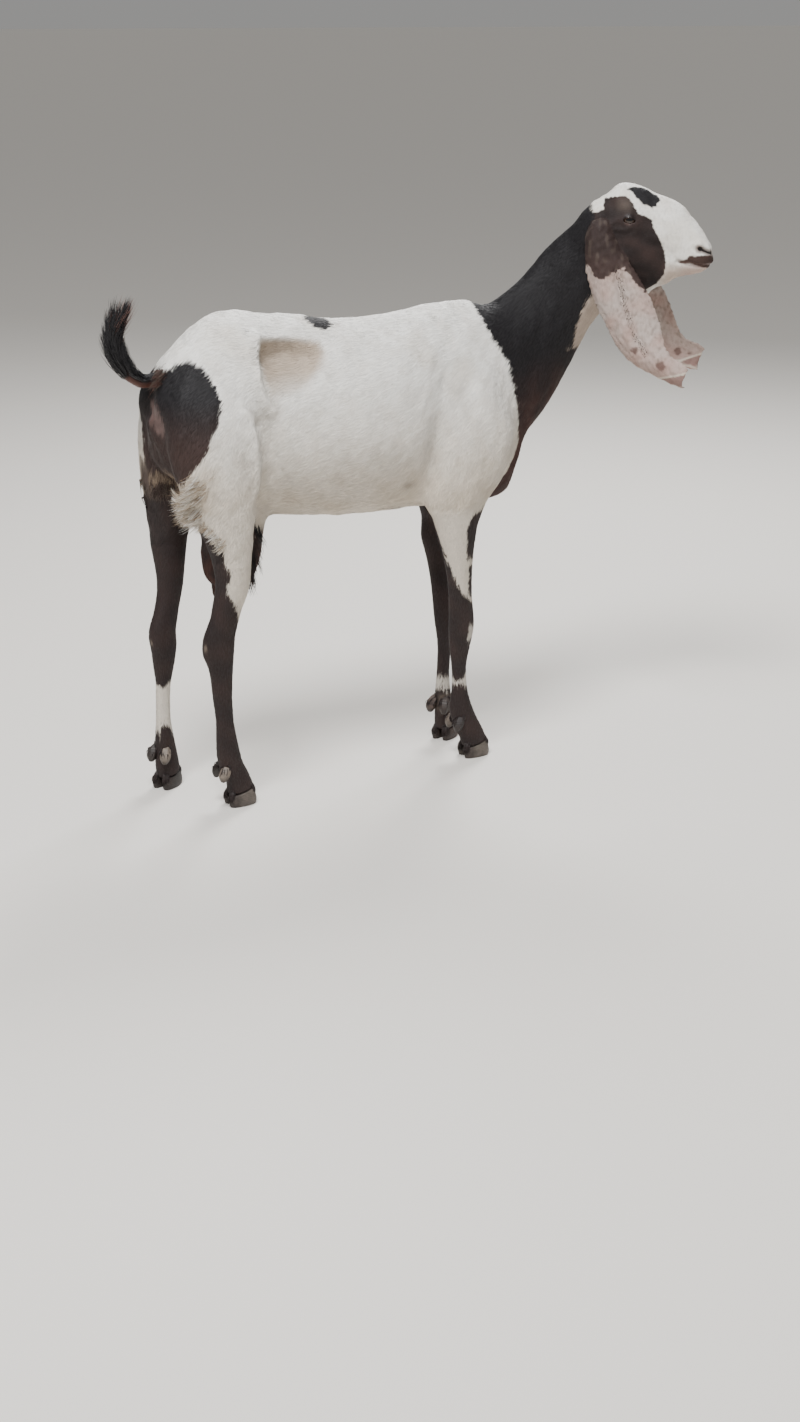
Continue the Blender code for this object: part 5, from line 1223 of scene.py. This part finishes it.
def flowing(starts, headings, reach, curls, waviness, seed, steps=8):
    """Paths that leave their starts along these headings, and bend and wave more towards the tip."""
    dice = np.random.default_rng(seed)
    t = np.linspace(0.0, 1.0, steps)[None, :, None]
    headings = headings / np.linalg.norm(headings, axis=1)[:, None]
    paths = starts[:, None, :] + (headings[:, None, :] * t + curls[:, None, :] * t ** 2) * reach[:, None, None]
    side = np.cross(headings, dice.normal(size=headings.shape))
    side /= np.linalg.norm(side, axis=1)[:, None]
    phase = dice.uniform(0, 2 * math.pi, len(starts))[:, None, None]
    swing = np.sin(t * 5.5 + phase) - np.sin(phase)
    return paths + side[:, None, :] * swing * t * (reach * waviness)[:, None, None]


# %% [markdown]
# A circle is extruded ring by ring in edit mode, and each ring is then set across the tail's path at
# the radius that the tail has there. The underside is bare skin, so it shows the same skin material.

# %% The tail's core
TAIL_PATH = np.array(((-0.285, 0.0, 0.742), (-0.315, 0.0, 0.737), (-0.342, 0.0, 0.735), (-0.364, 0.0, 0.748),
                      (-0.377, 0.0, 0.773), (-0.382, 0.0, 0.798), (-0.383, 0.0, 0.812)))
TAIL_RADII = np.array((0.0125, 0.0118, 0.0108, 0.0098, 0.0085, 0.0060, 0.0030))


def along(path, share):
    """A place part of the way along a path, and the way it runs there."""
    lengths = np.concatenate([[0.0], np.cumsum(np.linalg.norm(np.diff(path, axis=0), axis=1))])
    lengths /= lengths[-1]
    place = np.array([np.interp(share, lengths, path[:, k]) for k in range(3)])
    ahead_place = np.array([np.interp(min(share + 0.05, 1.0), lengths, path[:, k]) for k in range(3)])
    behind = np.array([np.interp(max(share - 0.05, 0.0), lengths, path[:, k]) for k in range(3)])
    way = ahead_place - behind
    return place, way / np.linalg.norm(way)


bpy.ops.mesh.primitive_circle_add(vertices=20, radius=1.0, fill_type="NGON", location=(0, 0, 0))
core = bpy.context.object
core.name = "tail_core"
CORE_RINGS = 26
bpy.ops.object.mode_set(mode="EDIT")
bpy.ops.mesh.select_all(action="SELECT")
for _ in range(CORE_RINGS - 1):
    bpy.ops.mesh.extrude_region_move(TRANSFORM_OT_translate={"value": (0, 0, 1.0)})
bpy.ops.object.mode_set(mode="OBJECT")
ring = np.round(read(core)[:, 2] - ORIGIN[2]).astype(int)
spoke = read(core) + ORIGIN
shaped = np.empty_like(spoke)
for index in range(len(spoke)):
    share = ring[index] / (CORE_RINGS - 1)
    place, way = along(TAIL_PATH, share)
    side_way = np.array((0.0, 1.0, 0.0))
    up_way = np.cross(way, side_way)
    radius = np.interp(share, np.linspace(0, 1, len(TAIL_RADII)), TAIL_RADII)
    shaped[index] = place + (side_way * spoke[index, 0] + up_way * spoke[index, 1]) * radius
write(core, shaped)
bpy.ops.object.mode_set(mode="EDIT")
bpy.ops.mesh.select_all(action="SELECT")
bpy.ops.mesh.normals_make_consistent(inside=False)
bpy.ops.object.mode_set(mode="OBJECT")
core_places = read(core)
underside = smooth_step(0.2, -0.6, read(core, "normal") @ np.array((0.45, 0.0, 0.9)))
core_colours = lay(np.tile(HAIR["black"], (len(core_places), 1)), "red_brown",
                   underside * smooth_step(-0.385, -0.36, core_places[:, 0]))
fill_attribute(core, "Coat", core_colours)
fill_attribute(core, "Bare", underside, "FLOAT")
core.data.materials.append(skin.data.materials[0])
focus(core)
bpy.ops.object.shade_smooth()
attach(core, "root")
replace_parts(core, "tail")
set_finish(core, "coat_dark")

# %% [markdown]
# The tail's hair starts all along the core, lies back along it at first and then stands off, more
# behind than in front. Past the tip it goes on and bends over to her front and right.

# %% Hair on the tail
TAIL_STRANDS = 2200
CORE_LENGTH = float(np.linalg.norm(np.diff(TAIL_PATH, axis=0), axis=1).sum())
TAIL_CURL = np.array((0.05, -0.010, -0.020))
WISP_BEND = np.array((0.012, -0.004, 0.004))

number = TAIL_STRANDS // 1
start_shares = draw.uniform(0.20, 0.97, number) ** 0.85
reaches = draw.uniform(0.30, 0.50, number) * (0.75 + 0.35 * start_shares)
turns = draw.uniform(0, 2 * math.pi, number)
behind = (1.0 - np.cos(turns)) / 2
lift_off = (0.009 + 0.011 * behind) * draw.uniform(0.35, 1.35, number)
steps = 8
share_table = np.linspace(0.0, 1.0, 60)
line_table = [along(TAIL_PATH, s) for s in share_table]
line_places, line_ways = np.array([v[0] for v in line_table]), np.array([v[1] for v in line_table])
tail_paths = np.empty((number, steps, 3))
for index in range(steps):
    t = index / (steps - 1)
    at = start_shares + reaches * t
    inner = np.minimum(at, 1.0)
    place = np.stack([np.interp(inner, share_table, line_places[:, k]) for k in range(3)], 1)
    way = np.stack([np.interp(inner, share_table, line_ways[:, k]) for k in range(3)], 1)
    beyond = np.maximum(at - 1.0, 0.0)[:, None]
    place = place + way * beyond * CORE_LENGTH + TAIL_CURL * beyond
    front_way = np.cross((0.0, 1.0, 0.0), way)
    front_way /= np.linalg.norm(front_way, axis=1)[:, None]
    angle = turns + 0.30 * np.sin(turns * 3.0 + start_shares * 9.0) * t
    outward = front_way * np.cos(angle)[:, None] + np.array((0.0, 1.0, 0.0)) * np.sin(angle)[:, None]
    radius = np.interp(inner, np.linspace(0, 1, len(TAIL_RADII)), TAIL_RADII)
    wobble = 0.0012 * t * np.sin(t * 7.0 + turns * 5.0)
    tail_paths[:, index] = place + outward * (radius * 0.80 + lift_off * t ** 0.8 + wobble)[:, None]
below = (np.cos(turns) < 0.1) & (start_shares < 0.52)
tail_paths, start_shares = tail_paths[~below], start_shares[~below]
number = len(tail_paths)
tail_shades = np.tile(HAIR["black"], (number, 1))
wisps = (draw.uniform(size=number) < 0.16) & (start_shares > 0.76)
bend = (np.linspace(0, 1, steps) ** 2)[None, :, None] * WISP_BEND
tail_paths[wisps] += bend * draw.uniform(0.2, 1.3, int(wisps.sum()))[:, None, None]
tail_shades[wisps] = HAIR["lip"] * 1.3
tail_shades[:, :3] *= draw.uniform(0.7, 1.35, number)[:, None]
strands(tail_paths, draw.uniform(0.0009, 0.0017, number), tail_shades, "tail_hair", "coat_dark")

# %% [markdown]
# Where the white of each thigh ends, soft tan hair grows long and hangs back over the dark of the
# leg in curls. Dark hair hangs in front of the udder, and a short frizz stands round the tail root.

# %% Long hair on thighs and udder
def grow(name, slot, count, line, spread_by, heading, reach, curl, waviness, shades, widths, seed, locks=0):
    """Long hair with its roots on the skin near a line, in this many locks if any."""
    dice = np.random.default_rng(seed)
    count = count // 1
    line = np.asarray(line, float)
    groups = locks or count
    lock = np.arange(count) % groups
    at = dice.uniform(0, len(line) - 1, groups)[lock]
    starts = np.stack([np.interp(at, np.arange(len(line)), line[:, k]) for k in range(3)], 1)
    starts = starts + (dice.normal(size=(groups, 3)) * spread_by)[lock]
    if locks:
        starts = starts + dice.normal(size=(count, 3)) * 0.0016
    starts = onto_skin(starts, np.full(count, -0.001))
    headings = np.asarray(heading, float) + (dice.normal(size=(groups, 3)) * 0.16)[lock]
    curls = (np.asarray(curl, float) * dice.uniform(0.4, 1.6, groups)[:, None]
             + dice.normal(size=(groups, 3)) * 0.10)[lock]
    if locks:
        headings = headings + dice.normal(size=(count, 3)) * 0.05
        curls = curls + dice.normal(size=(count, 3)) * 0.04
    lengths = reach * (dice.uniform(0.6, 1.15, groups)[lock]) * dice.uniform(0.8, 1.05, count)
    paths = flowing(starts, headings, lengths, curls, waviness, seed)
    picked = np.array([HAIR[shades[i]] for i in dice.integers(0, len(shades), groups)])[lock]
    picked[:, :3] *= dice.uniform(0.82, 1.12, count)[:, None]
    strands(paths, dice.uniform(widths[0], widths[1], count), picked, name, slot)


grow("fringe_right", "coat_white", 1350,
     line=((-0.278, -0.110, 0.592), (-0.292, -0.100, 0.568), (-0.304, -0.090, 0.552),
           (-0.302, -0.086, 0.538), (-0.290, -0.092, 0.528)),
     spread_by=(0.008, 0.008, 0.007), heading=(-0.66, 0.14, -0.60), reach=0.031, curl=(-0.10, 0.08, 0.16),
     waviness=0.05, shades=("cream", "tan", "cream", "white", "tan"), widths=(0.0006, 0.0011), seed=41, locks=450)
grow("fringe_curls", "coat_white", 240,
     line=((-0.318, -0.072, 0.548), (-0.318, -0.068, 0.540), (-0.311, -0.074, 0.531)),
     spread_by=(0.003, 0.004, 0.002), heading=(-0.70, 0.10, -0.50), reach=0.020, curl=(0.05, 0.05, 0.95),
     waviness=0.05, shades=("cream", "white", "tan"), widths=(0.0007, 0.0011), seed=42, locks=9)
grow("fringe_edge_right", "coat_white", 520,
     line=((-0.306, -0.080, 0.526), (-0.288, -0.086, 0.515), (-0.276, -0.104, 0.508),
           (-0.262, -0.110, 0.491), (-0.252, -0.113, 0.472)),
     spread_by=(0.003, 0.004, 0.003), heading=(-0.60, 0.05, -0.74), reach=0.017, curl=(-0.10, 0.0, 0.16),
     waviness=0.04, shades=("white", "cream", "tan", "cream"), widths=(0.0007, 0.0012), seed=43, locks=170)
grow("fringe_left", "coat_white", 420,
     line=((-0.290, 0.020, 0.552), (-0.298, 0.040, 0.556), (-0.302, 0.055, 0.548)),
     spread_by=(0.007, 0.008, 0.006), heading=(-0.10, -0.10, -1.0), reach=0.020, curl=(0.0, -0.05, 0.05),
     waviness=0.03, shades=("brown", "grey", "brown"), widths=(0.0007, 0.0012), seed=45)
grow("udder_hair", "udder_skin", 620,
     line=((-0.168, -0.042, 0.500), (-0.166, -0.040, 0.478), (-0.163, -0.036, 0.455),
           (-0.166, -0.032, 0.425), (-0.174, -0.030, 0.402)),
     spread_by=(0.003, 0.006, 0.006), heading=(-0.12, -0.05, -1.0), reach=0.042, curl=(0.0, 0.0, 0.05),
     waviness=0.05, shades=("udder", "black", "brown"), widths=(0.0009, 0.0015), seed=47, locks=70)
grow("tail_root_frizz", "coat_dark", 260,
     line=((-0.300, -0.012, 0.745), (-0.318, -0.010, 0.748), (-0.330, -0.012, 0.735)),
     spread_by=(0.006, 0.008, 0.004), heading=(-0.70, -0.15, 0.10), reach=0.020, curl=(-0.10, -0.20, -0.50),
     waviness=0.10, shades=("brown", "grey", "red_brown"), widths=(0.0006, 0.0011), seed=49)

# %% [markdown]
# The eyes. A goat's eye is a wet ball with a brown iris and a dark pupil that lies level, set deep
# between dark lids. The ball is turned so that its pole looks out, and rings of points measured
# from that pole take the colours of pupil, iris and white.

# %% Eyes
IRIS_REACH, PUPIL_LONG, PUPIL_HIGH = 0.72, 0.50, 0.20


def eye_material():
    material, tree, shader = new_material("wet_goat_eye")
    shade = add_node(tree, "ShaderNodeAttribute", {"attribute_name": "Iris"})
    tree.links.new(shade.outputs["Color"], shader.inputs["Base Color"])
    shader.inputs["Roughness"].default_value = 0.08
    shader.inputs["IOR"].default_value = 1.376
    shader.inputs["Coat Weight"].default_value = 0.6
    shader.inputs["Coat Roughness"].default_value = 0.03
    return material


EYE_MATERIAL = eye_material()
for side_name, side in (("right", -1.0), ("left", 1.0)):
    low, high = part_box("eye_" + side_name)
    middle = (low + high) / 2
    outward = LEFTWARD * side + AHEAD * 0.22 + np.array((0, 0, 0.10))
    outward /= np.linalg.norm(outward)
    level = np.cross((0, 0, 1.0), outward)
    level /= np.linalg.norm(level)
    upward = np.cross(outward, level)
    bpy.ops.object.select_all(action="DESELECT")
    bpy.ops.mesh.primitive_uv_sphere_add(segments=48, ring_count=40, radius=EYE_RADIUS, location=(0, 0, 0))
    ball = bpy.context.object
    ball.name = "eyeball_" + side_name
    spots = (read(ball) + ORIGIN) / EYE_RADIUS
    bulge = 1.0 + 0.05 * smooth_step(0.80, 1.0, spots[:, 2])
    turned = spots[:, :1] * level + spots[:, 1:2] * upward + spots[:, 2:] * outward
    write(ball, turned * (EYE_RADIUS * bulge)[:, None] + np.array(middle) - ORIGIN)
    away = np.hypot(spots[:, 0], spots[:, 1])
    iris = (spots[:, 2] > 0) & (away < IRIS_REACH)
    pupil = (spots[:, 2] > 0) & (np.hypot(spots[:, 0] / PUPIL_LONG, spots[:, 1] / PUPIL_HIGH) < 1.0)
    shade = np.tile(linear("1E1512"), (len(spots), 1))
    shade[iris] = linear("2E1E14")
    shade[pupil] = linear("050406")
    fill_attribute(ball, "Iris", shade)
    ball.data.materials.append(EYE_MATERIAL)
    bpy.ops.object.shade_smooth()
    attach(ball, "root")
    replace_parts(ball, "eye_" + side_name)
    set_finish(ball, "eye")

# %% [markdown]
# Hooves and dewclaws are horn: hard, layered, grey brown, with fine rings of growth and dust in
# them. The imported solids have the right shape, so copies of them are only rounded with a bevel and
# a subdivision, and the rings are bands in the material, about 3 mm apart.

# %% Horn
def horn_material():
    material, tree, shader = new_material("worn_hoof_horn")
    shade = add_node(tree, "ShaderNodeAttribute", {"attribute_name": "Horn"})
    place = add_node(tree, "ShaderNodeTexCoord")
    rings = add_node(tree, "ShaderNodeTexWave", {"wave_type": "BANDS", "bands_direction": "Z"},
                     {"Scale": 95.0, "Distortion": 2.5, "Detail": 3.0, "Detail Scale": 1.5},
                     {"Vector": place.outputs["Object"]})
    stains = add_node(tree, "ShaderNodeTexNoise", values={"Scale": 90.0, "Detail": 5.0},
                      links={"Vector": place.outputs["Object"]})
    tone = add_node(tree, "ShaderNodeMapRange",
                    values={"From Min": 0.3, "From Max": 0.7, "To Min": 0.6, "To Max": 1.25},
                    links={"Value": stains.outputs["Fac"]})
    tinted = add_node(tree, "ShaderNodeVectorMath", {"operation": "SCALE"},
                      links={"Vector": shade.outputs["Color"], "Scale": tone.outputs["Result"]})
    bump = add_node(tree, "ShaderNodeBump", values={"Strength": 0.5, "Distance": 0.0006},
                    links={"Height": rings.outputs["Fac"]})
    rough = add_node(tree, "ShaderNodeMapRange", values={"To Min": 0.42, "To Max": 0.72},
                     links={"Value": stains.outputs["Fac"]})
    tree.links.new(tinted.outputs["Vector"], shader.inputs["Base Color"])
    tree.links.new(rough.outputs["Result"], shader.inputs["Roughness"])
    tree.links.new(bump.outputs["Normal"], shader.inputs["Normal"])
    return material


HOOF_SHADES = {"fore_right": "5A524B", "hind_right": "574F49", "fore_left": "3A2C27", "hind_left": "282220"}
CLAW_SHADES = {"hind_right_outer": "766B61", "hind_right_inner": "2A2522", "hind_left_inner": "766B61",
               "hind_left_outer": "322B28", "fore_right_inner": "6E635A", "fore_right_outer": "282120",
               "fore_left_outer": "4E4039", "fore_left_inner": "3A302C"}
HOOF_TAPER = 0.13
HOOF_DROP, CLAW_DROP = 0.010, 0.005
CORONET_STRANDS, CLAW_STRANDS = 220, 60

coronet_paths = []
HORN = horn_material()
for name in sorted(NODES):
    if name.startswith(("hoof", "dewclaw")):
        claw = copies_of([name], name + "_horn")
        apply_modifier(claw, "BEVEL", width=0.0012, segments=2, limit_method="ANGLE", angle_limit=math.radians(35))
        apply_modifier(claw, "SUBSURF", levels=1, render_levels=1)
        claw.data.materials.clear()
        claw.data.materials.append(HORN)
        spots = read(claw)
        if name.startswith("hoof"):
            middle = spots.mean(0)
            height = (spots[:, 2] - spots[:, 2].min()) / np.ptp(spots[:, 2])
            drawn_in = 1.0 - HOOF_TAPER * smooth_step(0.30, 1.0, height)[:, None]
            spots[:, :2] = middle[:2] + (spots[:, :2] - middle[:2]) * drawn_in
            write(claw, spots)
        low_z, span_x = spots[:, 2].min(), np.ptp(spots[:, 0])
        if name.startswith("hoof"):
            leg = "_".join(name.split("_")[1:3])
            shade = np.tile(linear(HOOF_SHADES[leg]), (len(spots), 1))
            heel = smooth_step(0.40, 0.25, (spots[:, 0] - spots[:, 0].min()) / span_x)
            shade = shade + (linear("2C2320") - shade) * (0.8 * heel)[:, None]
        else:
            shade = np.tile(linear(CLAW_SHADES.get(name[len("dewclaw_"):], "8A7F73")), (len(spots), 1))
            rim = smooth_step(0.45, 0.10, (spots[:, 2] - low_z) / np.ptp(spots[:, 2]))
            shade = shade + (linear("2C2623") - shade) * (0.75 * rim)[:, None]
        fill_attribute(claw, "Horn", shade)
        # Hair from the skin above hangs down over the upper edge of each hoof and dewclaw
        centre, outward = spots.mean(0), read(claw, "normal")
        reach = np.linalg.norm((spots - centre)[:, :2], axis=1)
        rim = np.nonzero((outward[:, 2] > 0.3) & (reach > 0.6 * reach.max()))[0]
        number = CORONET_STRANDS if name.startswith("hoof") else CLAW_STRANDS
        dealt = rim[draw.integers(0, len(rim), number // (1))]
        flat_out = (spots[dealt] - centre) * (1.0, 1.0, 0.0)
        flat_out /= np.maximum(np.linalg.norm(flat_out, axis=1), 1e-6)[:, None]
        drop = (HOOF_DROP if name.startswith("hoof") else CLAW_DROP) * draw.uniform(0.6, 1.25, len(dealt))[:, None]
        over = spots[dealt] + flat_out * 0.0012 + draw.normal(size=(len(dealt), 3)) * 0.0007
        above = onto_skin(spots[dealt] + drop * (0.0, 0.0, 0.9), np.full(len(dealt), -0.0005))
        below = over + flat_out * 0.0008 - drop * (0.0, 0.0, 1.0)
        coronet_paths.append(np.stack([above, above * 0.45 + over * 0.55 + (0.0, 0.0, 0.001), over,
                                       over * 0.5 + below * 0.5 + flat_out * 0.0004, below], 1))
        focus(claw)
        bpy.ops.object.shade_smooth()
        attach(claw, "root")
        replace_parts(claw, name)
        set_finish(claw, "horn")

coronet_paths = np.concatenate(coronet_paths)
coronet_shades = np.tile(HAIR["black"] * 0.6 + HAIR["brown"] * 0.4, (len(coronet_paths), 1))
coronet_shades[:, :3] *= draw.uniform(0.8, 1.25, len(coronet_paths))[:, None]
strands(coronet_paths, draw.uniform(0.0013, 0.0021, len(coronet_paths)), coronet_shades, "coronet_hair", "coat_dark")

# %% [markdown]
# The camera has the photograph's viewpoint, higher than the goat's back and behind her right
# side, and looks down on her. Its lens covers the same width as in the photograph.

# %% Camera
CAMERA_PLACE = np.array((-1.532, -3.019, 1.30))
CAMERA_DOWN = math.radians(19.3)
CAMERA_TURN = math.radians(28.9)
FOCAL_PIXELS, IMAGE_HEIGHT, SENSOR = 2000.0, 1422.0, 36.0

camera_data = bpy.data.cameras.new("camera")
camera_data.sensor_width = SENSOR
camera_data.lens = FOCAL_PIXELS / IMAGE_HEIGHT * SENSOR
camera = bpy.data.objects.new("camera", camera_data)
camera.location = Vector(CAMERA_PLACE + ORIGIN)
camera.rotation_euler = (math.pi / 2 - CAMERA_DOWN, 0.0, -CAMERA_TURN)
bpy.context.scene.collection.objects.link(camera)
bpy.context.scene.camera = camera

# %% [markdown]
# A pale floor, a broad soft light from above on her right for the day's sky, a weaker one behind
# for a rim on her back, and a soft grey all round.

# %% Floor and light
bpy.ops.object.select_all(action="DESELECT")
bpy.ops.mesh.primitive_plane_add(size=300.0, location=(0, 0, 0))
floor = bpy.context.object
floor.name = "floor"
floor_paint, _, floor_shader = new_material("pale_studio_floor")
floor_shader.inputs["Base Color"].default_value = tuple(linear("E6E2DC"))
floor_shader.inputs["Roughness"].default_value = 0.85
floor.data.materials.append(floor_paint)
floor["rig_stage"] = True


def add_light(name, place, aim, size, power):
    data = bpy.data.lights.new(name, "AREA")
    data.shape = "DISK"
    data.size = size
    data.energy = power
    lamp = bpy.data.objects.new(name, data)
    lamp.location = place
    lamp.rotation_euler = (Vector(aim) - Vector(place)).to_track_quat("-Z", "Y").to_euler()
    bpy.context.scene.collection.objects.link(lamp)
    return lamp


add_light("sky", (-1.6, -1.5, 3.9), (0.0, 0.0, 0.6), 1.5, 230.0)
add_light("rim", (1.8, 2.0, 3.0), (0.0, 0.0, 0.7), 1.4, 130.0)
world = bpy.context.scene.world or bpy.data.worlds.new("studio")
bpy.context.scene.world = world
world.use_nodes = True
sky = world.node_tree.nodes["Background"]
sky.inputs["Color"].default_value = tuple(linear("E4E3E1"))
# A little darker at the horizon, so that it melts into the far floor
way = add_node(world.node_tree, "ShaderNodeTexCoord")
upward = add_node(world.node_tree, "ShaderNodeSeparateXYZ", links={"Vector": way.outputs["Generated"]})
glow = add_node(world.node_tree, "ShaderNodeMapRange", values={"From Max": 0.35, "To Min": 0.388, "To Max": 0.51},
                links={"Value": upward.outputs["Z"]})
world.node_tree.links.new(glow.outputs["Result"], sky.inputs["Strength"])

# %% [markdown]
# Last, the box of the looks is measured and printed.

# %% Sizes, and the end
low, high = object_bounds()
print("box of the looks", [round(v, 4) for v in high - low])
